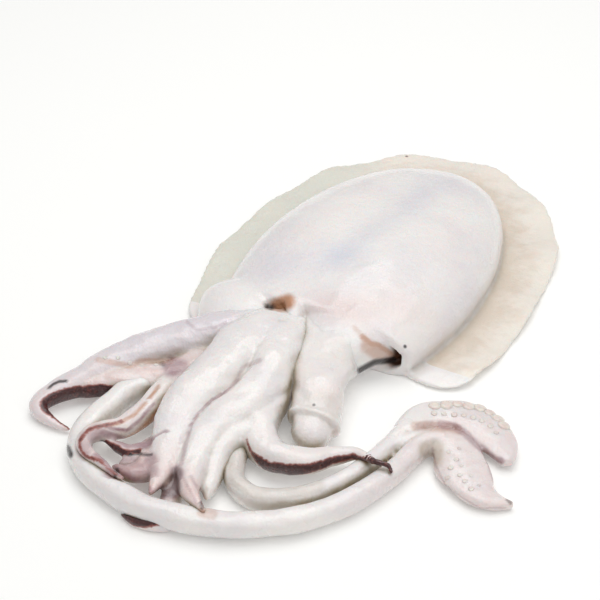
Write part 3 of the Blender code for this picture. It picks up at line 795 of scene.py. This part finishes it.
def mark_crowd_shade(pieces):
    """Add to each place's crowd mark, as painted shade, how closely it is hemmed in by other flesh."""
    corners, faces = [], []
    for piece in pieces:
        start = len(corners)
        corners += [vert.co.copy() for vert in piece.data.vertices]
        faces += [[start + i for i in face.vertices] for face in piece.data.polygons]
    tree = BVHTree.FromPolygons(corners, faces)
    spread = [(0.0, 0.0, 1.0)]
    for tilt, count in CROWD_RAYS:
        for i in range(count):
            turn = math.tau * (i + tilt / 90) / count
            flat = math.sin(math.radians(tilt))
            spread.append((flat * math.cos(turn), flat * math.sin(turn), math.cos(math.radians(tilt))))
    for piece in pieces:
        mesh = piece.data
        at = numbers_of(mesh, "vertices", "co", 3)
        normals = numbers_of(mesh, "vertices", "normal", 3)
        crowd = np.zeros(len(at))
        for i, (place, normal) in enumerate(zip(at, normals)):
            normal = Vector(normal)
            side = normal.orthogonal().normalized()
            other = normal.cross(side)
            start = Vector(place) + normal * CROWD_START
            for a, b, c in spread:
                distance = tree.ray_cast(start, side * a + other * b + normal * c, CROWD_REACH)[3]
                if distance is not None:
                    crowd[i] += 1 - distance / CROWD_REACH
        crowd /= len(spread)
        edges = numbers_of(mesh, "edges", "vertices", 2)
        for _ in range(3):
            crowd = 0.5 * crowd + 0.5 * neighbour_mean(crowd, edges)
        crowd = np.clip((crowd - CROWD_FROM) / (CROWD_FULL - CROWD_FROM), 0, 1)
        stained = numbers_of(mesh.attributes["crowd"], "data", "value", 1)[:, 0]
        set_mark(mesh, "crowd", np.maximum(crowd, stained))


def finish_piece(obj, material):
    """Give a piece its material and hand it to the frame in place of the solid."""
    obj.data.materials.clear()
    obj.data.materials.append(material)
    obj.data.shade_smooth()
    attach(obj, "root")
    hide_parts(NODE)
    return obj


class Nodes:
    """Short calls for building a material's node tree."""

    def __init__(self, name):
        self.material = bpy.data.materials.new(name)
        self.material.use_nodes = True
        self.tree = self.material.node_tree
        self.shader = self.tree.nodes["Principled BSDF"]

    def add(self, kind, **settings):
        node = self.tree.nodes.new(kind)
        for key, value in settings.items():
            setattr(node, key, value)
        return node

    def link(self, source, target):
        self.tree.links.new(source, target)

    def mark(self, name):
        """The value that a piece's mesh carries under a name."""
        return self.add("ShaderNodeAttribute", attribute_name=name).outputs["Fac"]

    def cloud(self, scale, detail=2.0, seed=0.0):
        """Soft noise from 0 to 1 that stays with the piece."""
        place = self.add("ShaderNodeMapping")
        place.inputs["Location"].default_value = (seed, seed * 0.37, -seed)
        self.link(self.add("ShaderNodeTexCoord").outputs["Object"], place.inputs["Vector"])
        node = self.add("ShaderNodeTexNoise")
        node.inputs["Scale"].default_value = scale
        node.inputs["Detail"].default_value = detail
        self.link(place.outputs["Vector"], node.inputs["Vector"])
        return node.outputs["Fac"]

    def spread(self, value, low, high, to_low=0.0, to_high=1.0):
        """A value read from low to high as a smooth step between two others."""
        node = self.add("ShaderNodeMapRange", interpolation_type="SMOOTHSTEP")
        for key, number in zip(("From Min", "From Max", "To Min", "To Max"), (low, high, to_low, to_high)):
            node.inputs[key].default_value = number
        self.link(value, node.inputs["Value"])
        return node.outputs["Result"]

    def sum(self, operation, first, second):
        node = self.add("ShaderNodeMath", operation=operation)
        for socket, value in zip(node.inputs, (first, second)):
            if isinstance(value, (int, float)):
                socket.default_value = value
            else:
                self.link(value, socket)
        return node.outputs["Value"]

    def mix(self, share, first, second):
        """One colour over another. Each colour is a property's value or an output."""
        node = self.add("ShaderNodeMix", data_type="RGBA")
        for socket, value in ((node.inputs[0], share), (node.inputs[6], first), (node.inputs[7], second)):
            if isinstance(value, bpy.types.NodeSocket):
                self.link(value, socket)
            elif isinstance(value, (int, float)):
                socket.default_value = value
            else:
                socket.default_value = (*value, 1)
        return node.outputs[2]

    def flecks(self, colour, places, fleck_colour):
        """Small dark flecks at fixed places, each a few steps wide at its edge."""
        at = self.add("ShaderNodeTexCoord").outputs["Object"]
        for x, y, z, radius in places:
            node = self.add("ShaderNodeVectorMath", operation="DISTANCE")
            node.inputs[1].default_value = Vector((x, y, z)) * MM
            self.link(at, node.inputs[0])
            near = self.spread(node.outputs["Value"], radius * 0.6 * MM, radius * 1.8 * MM, 0.9, 0.0)
            colour = self.mix(near, colour, fleck_colour)
        return colour

    def tint(self, colour, *tints):
        """Lay colours over one another. Each is a mark, how strongly it counts and its colour."""
        for mark, strength, over in tints:
            colour = self.mix(self.sum("MULTIPLY", self.mark(mark), strength), colour, over)
        return colour

    def bump(self, height, depth):
        """Relief as deep as depth, in metres."""
        node = self.add("ShaderNodeBump")
        node.inputs["Strength"].default_value = 1.0
        node.inputs["Distance"].default_value = depth
        self.link(height, node.inputs["Height"])
        return node.outputs["Normal"]


def wet(nodes, colour, depth, roughness=(0.22, 0.42)):
    """Finish a material as wet translucent flesh: that colour, and fine grain over low swellings."""
    shader = nodes.shader
    height = nodes.sum("ADD", nodes.cloud(900, 3, 2), nodes.sum("MULTIPLY", nodes.cloud(260, 2, 9), 2.0))
    nodes.link(colour, shader.inputs["Base Color"])
    nodes.link(nodes.spread(nodes.cloud(90, 3, 5), 0.3, 0.7, *roughness), shader.inputs["Roughness"])
    nodes.link(nodes.bump(height, depth), shader.inputs["Normal"])
    for socket, value in WET_FLESH.items():
        shader.inputs[socket].default_value = value
    return nodes.material


def body_material(colours):
    """The belly's milky white, its lilac and bluish casts, the fin and the brown inside, with shade painted
    into the creases, the hollows, the slot and the fin.
    """
    nodes = Nodes("belly_flesh")
    broad = nodes.spread(nodes.cloud(28, 2, 1), 0.4, 0.75, 0.0, 0.55)
    colour = nodes.mix(broad, colours.white, colours.lilac)
    colour = nodes.tint(
        colour, ("lilac", 1.0, colours.lilac), ("blue", 1.0, colours.blue), ("pink", 0.6, colours.pink)
    )
    streaks = nodes.spread(nodes.cloud(120, 4, 3), 0.3, 0.7, -0.18, 0.18)
    rim = nodes.spread(nodes.sum("ADD", nodes.mark("rim"), streaks), 0.15, 1.0)
    # Tan beside the mantle, partly the fin's own tint and partly painted shade, fades to cream at the rim
    fin = nodes.mix(rim, colours.tan, colours.cream)
    # Painted shade darkens the fin's left side
    fin = nodes.mix(nodes.mark("far"), fin, colours.far_fin_shade)
    colour = nodes.mix(nodes.spread(nodes.mark("fin"), -0.6, 1.2), colour, fin)
    colour = nodes.tint(
        colour,
        # Painted shade: olive in the creases and where other flesh crowds round
        ("crease", 0.35, colours.crease),
        ("crowd", 0.35, colours.crease),
        # Plum: partly the skin's purple, partly painted shade in folds
        ("plum", 1.0, colours.plum),
        ("rust", 1.0, colours.rust),
    )
    colour = nodes.mix(nodes.spread(nodes.mark("inside"), 0.0, 1.0), colour, colours.cavity)
    colour = nodes.mix(nodes.spread(nodes.mark("hole"), 0.3, 0.8), colour, colours.cavity)
    # Black: partly real specks, partly painted shade in the slot and the hole
    colour = nodes.mix(nodes.mark("dark"), colour, colours.speck_and_gap_shade)
    colour = nodes.flecks(colour, BELLY_FLECKS, colours.speck_and_gap_shade)
    return wet(nodes, colour, 0.0003, (0.3, 0.5))


def limb_material(colours, name, mottle):
    """White to pink flesh with the dark skin of the back at its edges, and shade painted into its creases,
    folds and hollows.
    """
    nodes = Nodes(name)
    broad = nodes.spread(nodes.cloud(45, 2, 4), 0.35, 0.75, -0.15, 0.3)
    colour = nodes.mix(nodes.sum("ADD", nodes.mark("lilac"), broad), colours.white, colours.lilac)
    blotch = nodes.spread(nodes.cloud(mottle, 3, 6), 0.3, 0.72, -0.25, 0.25)
    pink = nodes.sum("MULTIPLY", nodes.mark("pink"), nodes.sum("ADD", 0.8, blotch))
    colour = nodes.mix(pink, colour, colours.pink)
    patchy = nodes.spread(nodes.cloud(130, 3, 12), 0.25, 0.75, 0.65, 1.0)
    colour = nodes.tint(
        colour,
        # Painted shade: olive in the creases and where other flesh crowds round
        ("crease", 0.6, colours.crease),
        ("crowd", patchy, colours.crease),
        ("rust", patchy, colours.rust),
        # Plum: partly the skin's purple, partly painted shade in the folds between the arms
        ("plum", patchy, colours.plum),
    )
    colour = nodes.mix(nodes.spread(nodes.mark("hole"), 0.25, 0.75), colour, colours.cavity)
    # Black: partly real specks, partly painted shade in gaps between the limbs
    colour = nodes.mix(nodes.mark("dark"), colour, colours.speck_and_gap_shade)
    colour = nodes.flecks(colour, LIMB_FLECKS, colours.speck_and_gap_shade)
    ragged = nodes.spread(nodes.cloud(260, 4, 8), 0.25, 0.75, -0.45, 0.45)
    skin = nodes.sum("ADD", nodes.mark("skin"), ragged)
    colour = nodes.mix(nodes.spread(skin, -0.9, 0.2), colour, colours.skin_edge)
    flecks = nodes.spread(nodes.cloud(700, 4, 11), 0.5, 0.72, 0.0, 0.4)
    dark = nodes.mix(flecks, colours.skin, colours.skin_edge)
    colour = nodes.mix(nodes.spread(skin, 0.0, 0.8), colour, dark)
    return wet(nodes, colour, 0.00025)


def plain_material(name, colour, second, scale, roughness=(0.3, 0.5)):
    """Flesh of two near colours in soft patches."""
    nodes = Nodes(name)
    patches = nodes.spread(nodes.cloud(scale, 3, 7), 0.35, 0.7)
    return wet(nodes, nodes.mix(patches, colour, second), 0.0002, roughness)


def mantle_outline(sizes, y):
    """Half width of the mantle at y."""
    axis = sizes.mantle_tail / MM if y > 0 else FRONT_AXIS
    return sizes.mantle_half_width / MM * math.sqrt(max(0.0, 1 - (y / axis) ** 2))


def mantle_rise(sizes, y):
    """Height of the mantle's middle above its widest line, at y."""
    rise = sizes.mantle_height / MM - RIM_HEIGHT
    if y < 0:
        return rise * (1 - FRONT_FALL * (-y * MM / sizes.mantle_front) ** FRONT_CURVE)
    return rise * math.sqrt(max(0.0, 1 - (y * MM / sizes.mantle_tail) ** TAIL_CURVE))


def dent(sizes, x, y):
    """Depth of the valley along the middle, which fades out at the tail and at the front."""
    front, tail = -sizes.mantle_front / MM, sizes.mantle_tail / MM
    along = math.sin(math.pi * (y - front) / (tail - front))
    return DENT_DEPTH * max(0.0, along) * math.exp(-(((x - DENT_X) / DENT_WIDTH) ** 2))


def wrinkles(x, y):
    """Depth of the faint furrows that run back from the front margin."""
    depth = 0.0
    for start_x, start_y, slant, reach in WRINKLES:
        across = x - start_x - slant * (y - start_y)
        along = (y - start_y) / reach
        depth += WRINKLE_DEPTH * math.exp(-((across / WRINKLE_WIDTH) ** 2) - along**2)
    return depth


def mantle_place(sizes, y, shrink=0.0, inset=0.0):
    """One section of the mantle. Shrink rounds its ends off, and inset moves it inside the wall."""
    half_width = max(mantle_outline(sizes, y) * (1 - shrink) - inset, 0.6)
    rise = max(mantle_rise(sizes, y) * (1 - shrink) - inset, 0.4)
    rim = RIM_HEIGHT * (1 - RIM_DROP * max(y * MM, 0) / sizes.mantle_tail)
    drop = (rim + 2 - inset * 1.4) * (1 - shrink)

    def place(across, high):
        x = half_width * squarish(across)
        if high < 0:
            return (x, y, rim - drop * min(1, -high * 1.9))
        sag = dent(sizes, x, y) * (1 - shrink) * high + wrinkles(x, y) * high * (inset == 0)
        return (x, y, rim + rise * high**0.9 - sag)

    return place


def mantle_places(sizes):
    """Rings from the back of the open room out over the lip and along the outside to the tail."""
    front, tail = -sizes.mantle_front / MM, sizes.mantle_tail / MM
    wall = sizes.mantle_wall / MM
    places = []
    for i in range(CAVITY_RINGS):
        back = 1 - i / (CAVITY_RINGS - 1)
        y = front + LIP_DEPTH + (CAVITY_DEPTH - LIP_DEPTH) * back
        places.append(mantle_place(sizes, y, shrink=CAVITY_CLOSING * back**3, inset=wall))
    for i in range(1, LIP_RINGS + 1):
        angle = math.pi * i / (LIP_RINGS + 1)
        y = front + LIP_DEPTH - LIP_ROUNDNESS * math.sin(angle)
        drawn_in = LIP_DRAWN_IN * (1 - math.cos(angle)) / 2 * math.sin(angle)
        places.append(mantle_place(sizes, y, drawn_in, wall * (1 + math.cos(angle)) / 2))
    for i in range(MANTLE_RINGS):
        part = math.sin(i / MANTLE_RINGS * math.pi / 2)
        y = front + LIP_DEPTH + (tail - front - LIP_DEPTH) * part
        places.append(mantle_place(sizes, y))
    places.append(mantle_place(sizes, tail - 0.2))
    return places


def blend_places(stations):
    """Rings of a body that runs from inside the mantle out over the neck or the funnel."""
    places = []
    for _, (x, y, z, half_width, half_height) in even_stations(stations, 2):

        def place(across, high, x=x, y=y, z=z, half_width=half_width, half_height=half_height):
            up = half_height * squarish(high) if high > 0 else (z + 1) * high
            return (x + half_width * squarish(across), y, z + up)

        places.append(place)
    return places


def fin_width(sizes, angle, start, end):
    """Width of the fin at an angle round the mantle, closing in a rounded lobe at both ends."""
    width = sizes.fin_width / MM + FIN_TAIL_EXTRA * max(0, math.sin(angle)) ** 2
    width -= FIN_LEFT_NARROWER * max(0, -2 * math.sin(angle)) * max(0, -math.cos(angle))
    for middle, reach, extra in FIN_SWELLS:
        width += extra * math.exp(-(((math.degrees(angle) - middle) / reach) ** 2))
    from_end = min(angle - start, end - angle) * sizes.mantle_half_width / MM * 1.5
    closing = 1 - min(1, from_end / FIN_END_RADIUS)
    return width * (0.02 + 0.98 * math.sqrt(1 - closing**2))


def fin_place(sizes, angle, start, end):
    half_mantle = sizes.mantle_half_width / MM
    axis = sizes.mantle_tail / MM if math.sin(angle) > 0 else FRONT_AXIS
    edge = Vector((half_mantle * math.cos(angle), axis * math.sin(angle), 0))
    outward = Vector((math.cos(angle) / half_mantle, math.sin(angle) / axis, 0)).normalized()
    width = fin_width(sizes, angle, start, end)
    for depth, count, shift in FIN_NICKS:
        width += depth * noise.noise((angle * count, shift, 0))
    half = (width + FIN_OVERLAP) / 2
    middle = edge + outward * (width - FIN_OVERLAP) / 2
    wave = FIN_WAVE * (1 + math.sin(FIN_WAVES * 2 * angle)) * width / (sizes.fin_width / MM)
    ripple = FIN_RIPPLE * noise.noise((angle * 24, 1.3, 5.0))
    thickness = sizes.fin_thickness / MM / 2

    def place(across, high):
        outer = (1 + across) / 2
        lift = thickness - 0.2 + (wave + ripple) * outer**2
        thick = thickness * (1.5 - 0.8 * outer)
        return middle + outward * half * across + UP * (lift + thick * squarish(high, FIN_BLUNTNESS))

    return place


def fin_places(sizes):
    start = math.asin(-sizes.mantle_front / MM / FRONT_AXIS) + 0.02
    end = math.pi - start + FIN_LEFT_LOBE
    angles = []
    for i in range(FIN_SECTIONS + 1):
        along = i / FIN_SECTIONS
        angles.append(start + (end - start) * (along - FIN_BUNCHING * math.sin(2 * math.pi * along) / 2))
    return [fin_place(sizes, angle, start, end) for angle in angles]


def patches_at(patches, x, y):
    total = 0.0
    for patch_x, patch_y, across, along, turn, strength in patches:
        angle = math.radians(turn)
        dx, dy = x - patch_x, y - patch_y
        u = (dx * math.cos(angle) + dy * math.sin(angle)) / across
        v = (dy * math.cos(angle) - dx * math.sin(angle)) / along
        total += strength * math.exp(-u * u - v * v)
    return min(total, 1)


def paint_body(mesh, sizes):
    """Mark the casts of the belly, the fin and the inside of the bag by their place."""
    marks = {"lilac": [], "blue": [], "pink": [], "fin": [], "rim": [], "far": [], "inside": []}
    half_mantle, tail = sizes.mantle_half_width / MM, sizes.mantle_tail / MM
    front, wall = -sizes.mantle_front / MM, sizes.mantle_wall / MM
    normals = numbers_of(mesh, "vertices", "normal", 3)
    for (x, y, z), normal in zip(numbers_of(mesh, "vertices", "co", 3) / MM, normals):
        axis = tail if y > 0 else FRONT_AXIS
        out = math.hypot(x / half_mantle, y / axis)
        past = (out - 1) * math.hypot(x, y) / max(out, 0.01)
        low = eased(z, 12, 8)
        marks["lilac"].append(patches_at(LILAC_PATCHES, x, y))
        marks["blue"].append(patches_at(BLUE_PATCHES, x, y))
        marks["pink"].append(patches_at(PINK_PATCHES, x, y))
        at_neck = y < -58 or (y < -50 and x > -64)
        marks["fin"].append(past if low > 0.5 and not at_neck else -5.0)
        marks["rim"].append(min(max(past / (sizes.fin_width / MM), 0), 1.2))
        # Where the fin's left side gets its painted shade
        marks["far"].append(eased(-x - y * 0.3, 0, 40))
        room = mantle_outline(sizes, y) - wall * 0.45 - abs(x)
        under = RIM_HEIGHT + mantle_rise(sizes, y) - wall * 0.45 - z
        deep = y - front - 1.5
        in_room = y < front + CAVITY_DEPTH + 3 and z > 3 and room > 0 and under > 0
        facing_in = normal[2] < 0.2 or z < RIM_HEIGHT
        marks["inside"].append(eased(deep, 0, 5) if in_room and facing_in and deep > 0 else 0.0)
    for mark, values in marks.items():
        set_mark(mesh, mark, values)


class CUTTLEFISH_OT_body(bpy.types.Operator):
    """Model the mantle with its open front and the fin round it"""

    bl_idname = "cuttlefish.body"
    bl_label = "Add Body"

    def execute(self, context):
        sizes, colours = context.scene.cuttlefish_sizes, context.scene.cuttlefish_colours
        bm = start_mesh()
        add_loft(bm, MANTLE_SEGMENTS, mantle_places(sizes))
        add_loft(bm, FIN_SEGMENTS, fin_places(sizes))
        for stations in (COLLAR, FUNNEL_ROOT):
            add_loft(bm, BLEND_SEGMENTS, blend_places(stations))
        fold = even_stations(LIP_FOLD, 1.4)
        fold_size = taper(LIP_FOLD_SIZE, 5)
        add_loft(bm, 24, limb_places(fold, fold_size, fold_size))
        body = wrap_in_skin(bm, "body", sizes.body_grain, 4)
        settle(body.data, 0.0004, 0.022, 1)
        press_notch(body.data)
        paint_body(body.data, sizes)
        paint_stains_and_shade(body.data)
        mark_crease_shade(body.data, 4)
        finish_piece(body, body_material(colours))
        return {"FINISHED"}


def limb_paints(name, stations, half_width):
    """Paints for the rings of a limb: its casts and how far each place is inside the dark skin."""
    lilac_root, pink_root, lilac_tip, pink_tip = TINTS[name]
    paints = []
    for share, _ in stations:

        def paint(angle, share=share):
            skin, band = SKIN_AWAY, 0.0
            if name in DARK_SKIN:
                skin = max(skin, inside_strip(DARK_SKIN[name], share, angle, half_width(share)))
            if name in RUST_BAND and share < RUST_BAND[name][-1][0]:
                band = eased(inside_strip(RUST_BAND[name], share, angle, half_width(share)), -1.2, 0.6)
            part = eased(share, 0.3, 1)
            if name in PINK_ENDS:
                part = eased(share, 0.74, 0.95)
            return {
                "band": band,
                "lilac": lilac_root + (lilac_tip - lilac_root) * part,
                "pink": pink_root + (pink_tip - pink_root) * part,
                "skin": skin,
            }

        paints.append(paint)
    return paints


def add_band(mesh):
    """Add the band that was painted on the lofts to the rust stains."""
    rust, band = (numbers_of(mesh.attributes[mark], "data", "value", 1)[:, 0] for mark in ("rust", "band"))
    set_mark(mesh, "rust", np.maximum(rust, band))


def add_arm(bm, name):
    route, half_width, half_height, power = ARMS[name]
    stations = even_stations(route, ARM_RING_SPACING)
    width = taper(half_width, power)
    places = limb_places(stations, width, taper(half_height, power))
    add_loft(bm, ARM_SEGMENTS, places, limb_paints(name, stations, width))


class CUTTLEFISH_OT_arms(bpy.types.Operator):
    """Model the head, the neck and the eight arms under one skin"""

    bl_idname = "cuttlefish.arms"
    bl_label = "Add Head and Arms"

    def execute(self, context):
        sizes, colours = context.scene.cuttlefish_sizes, context.scene.cuttlefish_colours
        bm = start_mesh("lilac", "pink", "skin", "band")
        add_ellipsoid(bm, *HEAD)
        add_ellipsoid(bm, *NECK)
        skin, lilac = bm.verts.layers.float["skin"], bm.verts.layers.float["lilac"]
        for vert in bm.verts:
            vert[skin] = SKIN_AWAY
            vert[lilac] = 0.25
        for name in ARMS:
            add_arm(bm, name)
        arms = wrap_in_skin(bm, "arms", sizes.arm_grain, 3)
        settle(arms.data, 0.0004, 0.012, 2)
        settle(arms.data, 0.00016, 0.0045, 5)
        press_notch(arms.data)
        paint_stains_and_shade(arms.data)
        add_band(arms.data)
        mark_crease_shade(arms.data, 3)
        finish_piece(arms, limb_material(colours, "arm_flesh", 150))
        return {"FINISHED"}


def funnel_places():
    """Rings of the funnel, then the rolled rim at its mouth and a little of the inside."""
    stations = even_stations(FUNNEL, 1.6)
    places = limb_places(
        stations, lambda share: smooth_curve(FUNNEL, share)[3], lambda share: smooth_curve(FUNNEL, share)[4]
    )
    mouth, side, over = limb_frames(stations)[-1]
    ahead = over.cross(side)
    half_width, half_height = FUNNEL[-1][3:]
    for along, out in FUNNEL_RIM:

        def place(across, high, along=along, out=out):
            wide = side * squarish(across) * (half_width + out)
            tilt = along + FUNNEL_RIM_TILT * across
            return mouth + ahead * tilt + wide + over * squarish(high) * (half_height + out)

        places.append(place)
    return places


class CUTTLEFISH_OT_funnel(bpy.types.Operator):
    """Model the funnel with its rolled rim and the inner tube at its mouth"""

    bl_idname = "cuttlefish.funnel"
    bl_label = "Add Funnel"

    def execute(self, context):
        sizes, colours = context.scene.cuttlefish_sizes, context.scene.cuttlefish_colours
        bm = start_mesh("lilac", "pink", "skin")
        layers = bm.verts.layers.float
        add_loft(bm, FUNNEL_SEGMENTS, funnel_places())
        half_width = taper(TONGUE_HALF_WIDTH, TONGUE_TAPER)
        half_height = taper(TONGUE_HALF_HEIGHT, TONGUE_TAPER)
        add_loft(bm, TONGUE_SEGMENTS, limb_places(even_stations(TONGUE, 1.4), half_width, half_height))
        for vert in bm.verts:
            vert[layers["skin"]] = SKIN_AWAY
            vert[layers["lilac"]] = 0.06
            y = vert.co.y / MM
            blush = eased(-y, *FUNNEL_BLUSH[0]) * eased(y, *FUNNEL_BLUSH[1])
            vert[layers["pink"]] = 0.1 + 0.15 * blush
        funnel = wrap_in_skin(bm, "funnel", sizes.tentacle_grain, 3)
        settle(funnel.data, 0.0005, 0.014, 3)
        paint_stains_and_shade(funnel.data)
        mark_crease_shade(funnel.data, 2)
        finish_piece(funnel, limb_material(colours, "funnel_flesh", 90))
        return {"FINISHED"}


def leaf_half_width(share, tentacle):
    """The club's half width: the stalk's radius fading into a leaf that swells and closes."""
    swell = math.sin(math.pi * min(share, 0.985) ** tentacle["skew"]) ** tentacle["roundness"]
    return tentacle["radius"] * (1 - share) * 0.85 + tentacle["leaf_width"] * swell + ARM_TIP


def leaf_half_height(share):
    return CLUB_HALF_HEIGHT * (1 - 0.55 * share**3)


class CUTTLEFISH_OT_tentacles(bpy.types.Operator):
    """Model the two long tentacles with the clubs at their ends"""

    bl_idname = "cuttlefish.tentacles"
    bl_label = "Add Tentacles"

    def execute(self, context):
        sizes, colours = context.scene.cuttlefish_sizes, context.scene.cuttlefish_colours
        bm = start_mesh("lilac", "pink", "skin")
        layers = bm.verts.layers.float
        for tentacle in TENTACLES.values():
            radius = tentacle["radius"]

            def stalk_radius(share, radius=radius):
                return radius * (1 - STALK_TAPER * share)

            def half_width(share, tentacle=tentacle):
                return leaf_half_width(share, tentacle)

            stalk = even_stations(tentacle["stalk"], 1.6)
            add_loft(bm, TENTACLE_SEGMENTS, limb_places(stalk, stalk_radius, stalk_radius))
            club = even_stations(tentacle["club"], CLUB_RING_SPACING)
            add_loft(bm, CLUB_SEGMENTS, limb_places(club, half_width, leaf_half_height))
        web = even_stations(STALK_WEB, 1.6)
        web_size = taper(STALK_WEB_SIZE, 4)
        add_loft(bm, TENTACLE_SEGMENTS, limb_places(web, web_size, web_size))
        for vert in bm.verts:
            in_club = eased(vert.co.x / MM, *CLUB_BLUSH)
            vert[layers["skin"]] = SKIN_AWAY
            vert[layers["lilac"]] = 0.15 + 0.15 * in_club
            vert[layers["pink"]] = 0.45 * in_club
        tentacles = wrap_in_skin(bm, "tentacles", sizes.tentacle_grain, 3)
        settle(tentacles.data, 0.0003, 0.012, 4)
        paint_stains_and_shade(tentacles.data)
        mark_crease_shade(tentacles.data, 3)
        finish_piece(tentacles, limb_material(colours, "tentacle_flesh", 260))
        return {"FINISHED"}


def add_sucker(bm, at, normal, radius):
    """A small cup that stands on the skin, from its foot over the rim into the dish."""
    side = normal.orthogonal().normalized()
    other = normal.cross(side)
    places = []
    for out, up in SUCKER_PROFILE:

        def place(across, high, out=out, up=up):
            return at + ((side * across + other * high) * out + normal * up) * radius

        places.append(place)
    add_loft(bm, SUCKER_SEGMENTS, places)


class CUTTLEFISH_OT_suckers(bpy.types.Operator):
    """Stand the rows of suckers on the clubs and along the far arm's groove"""

    bl_idname = "cuttlefish.suckers"
    bl_label = "Add Suckers"

    def execute(self, context):
        colours = context.scene.cuttlefish_colours
        corners, faces = [], []
        for name in ("arms", "tentacles"):
            mesh = bpy.data.objects[name].data
            start = len(corners)
            corners += [vert.co / MM for vert in mesh.vertices]
            faces += [[start + i for i in face.vertices] for face in mesh.polygons]
        tree = BVHTree.FromPolygons(corners, faces)
        bm = bmesh.new()
        for row, (radius, places) in enumerate(SUCKERS):
            for i, place in enumerate(places):
                shift = Vector((
                    noise.noise((row * 2.1, i * 2.3, 7)),
                    noise.noise((row * 1.9, i * 3.1, 3)),
                    0,
                ))
                at, normal, _, _ = tree.find_nearest(Vector(place) + shift * SUCKER_SHIFT)
                size = radius * (1 + SUCKER_UNEVEN * noise.noise((row * 3.3, i * 1.7, 0.5)))
                add_sucker(bm, at, normal, size)
        bmesh.ops.recalc_face_normals(bm, faces=bm.faces[:])
        mesh = bpy.data.meshes.new("suckers")
        bm.to_mesh(mesh)
        bm.free()
        suckers = bpy.data.objects.new("suckers", mesh)
        context.scene.collection.objects.link(suckers)
        finish_piece(suckers, plain_material("sucker_flesh", colours.sucker, colours.pink, 300))
        return {"FINISHED"}


class CUTTLEFISH_OT_hollow_shade(bpy.types.Operator):
    """Paint olive shade into the flesh where other flesh crowds round it"""

    bl_idname = "cuttlefish.hollows"
    bl_label = "Tint Hollows"

    def execute(self, context):
        mark_crowd_shade([bpy.data.objects[name] for name in ("body", "arms", "funnel", "tentacles")])
        return {"FINISHED"}


class CUTTLEFISH_OT_stage(bpy.types.Operator):
    """Lay the pale table, hang the soft lights and set the camera"""

    bl_idname = "cuttlefish.stage"
    bl_label = "Set Stage"

    def execute(self, context):
        scene, colours = context.scene, context.scene.cuttlefish_colours
        bm = bmesh.new()
        bmesh.ops.create_grid(bm, x_segments=4, y_segments=4, size=TABLE_SIZE)
        bmesh.ops.translate(bm, verts=bm.verts[:], vec=(0, 0, -TABLE_BELOW))
        mesh = bpy.data.meshes.new("table")
        bm.to_mesh(mesh)
        bm.free()
        table = bpy.data.objects.new("table", mesh)
        scene.collection.objects.link(table)
        nodes = Nodes("table")
        grain = nodes.spread(nodes.cloud(6, 2, 1), 0.3, 0.7, 0.0, 0.12)
        nodes.link(nodes.mix(grain, colours.table, TABLE_PALER), nodes.shader.inputs["Base Color"])
        nodes.shader.inputs["Roughness"].default_value = 0.7
        nodes.shader.inputs["Emission Color"].default_value = (1, 1, 1, 1)
        nodes.shader.inputs["Emission Strength"].default_value = TABLE_GLOW
        table.data.materials.append(nodes.material)

        world = bpy.data.worlds.new("soft_room")
        world.use_nodes = True
        background = world.node_tree.nodes["Background"]
        background.inputs["Color"].default_value = (1, 1, 1, 1)
        background.inputs["Strength"].default_value = ROOM_LIGHT
        scene.world = world
        for name, place, size, watts in LIGHTS:
            light = bpy.data.lights.new(name, "AREA")
            light.shape = "SQUARE"
            light.size = size
            light.energy = watts
            lamp = bpy.data.objects.new(name, light)
            lamp.location = place
            lamp.rotation_euler = (LIGHTS_AIM - Vector(place)).to_track_quat("-Z", "Y").to_euler()
            scene.collection.objects.link(lamp)

        camera = bpy.data.objects.new("camera", bpy.data.cameras.new("camera"))
        camera.location = CAMERA_PLACE
        camera.rotation_euler = (CAMERA_AIM - camera.location).to_track_quat("-Z", "Y").to_euler()
        camera.data.lens = CAMERA_LENS
        camera.data.sensor_width = CAMERA_SENSOR
        scene.collection.objects.link(camera)
        scene.camera = camera
        scene.view_settings.view_transform = "Standard"
        return {"FINISHED"}


class CUTTLEFISH_PT_panel(bpy.types.Panel):
    """Sidebar panel that lists the steps and the settings"""

    bl_idname = "CUTTLEFISH_PT_panel"
    bl_label = "Raw Cuttlefish"
    bl_space_type = "VIEW_3D"
    bl_region_type = "UI"
    bl_category = "Cuttlefish"

    def draw(self, context):
        for step in STEPS:
            self.layout.operator(step.bl_idname)
        for group in (context.scene.cuttlefish_sizes, context.scene.cuttlefish_colours):
            column = self.layout.column()
            for key in group.bl_rna.properties.keys():
                if key not in ("rna_type", "name"):
                    column.prop(group, key)


STEPS = (
    CUTTLEFISH_OT_body,
    CUTTLEFISH_OT_arms,
    CUTTLEFISH_OT_funnel,
    CUTTLEFISH_OT_tentacles,
    CUTTLEFISH_OT_suckers,
    CUTTLEFISH_OT_hollow_shade,
    CUTTLEFISH_OT_stage,
)
CLASSES = (CuttlefishSizes, CuttlefishColours, *STEPS, CUTTLEFISH_PT_panel)


def register():
    for cls in CLASSES:
        bpy.utils.register_class(cls)
    bpy.types.Scene.cuttlefish_sizes = bpy.props.PointerProperty(type=CuttlefishSizes)
    bpy.types.Scene.cuttlefish_colours = bpy.props.PointerProperty(type=CuttlefishColours)


def unregister():
    del bpy.types.Scene.cuttlefish_colours
    del bpy.types.Scene.cuttlefish_sizes
    for cls in reversed(CLASSES):
        bpy.utils.unregister_class(cls)


def main():
    register()
    bpy.ops.cuttlefish.body()
    bpy.ops.cuttlefish.arms()
    bpy.ops.cuttlefish.funnel()
    bpy.ops.cuttlefish.tentacles()
    bpy.ops.cuttlefish.suckers()
    bpy.ops.cuttlefish.hollows()
    bpy.ops.cuttlefish.stage()


if __name__ == "__main__":
    main()
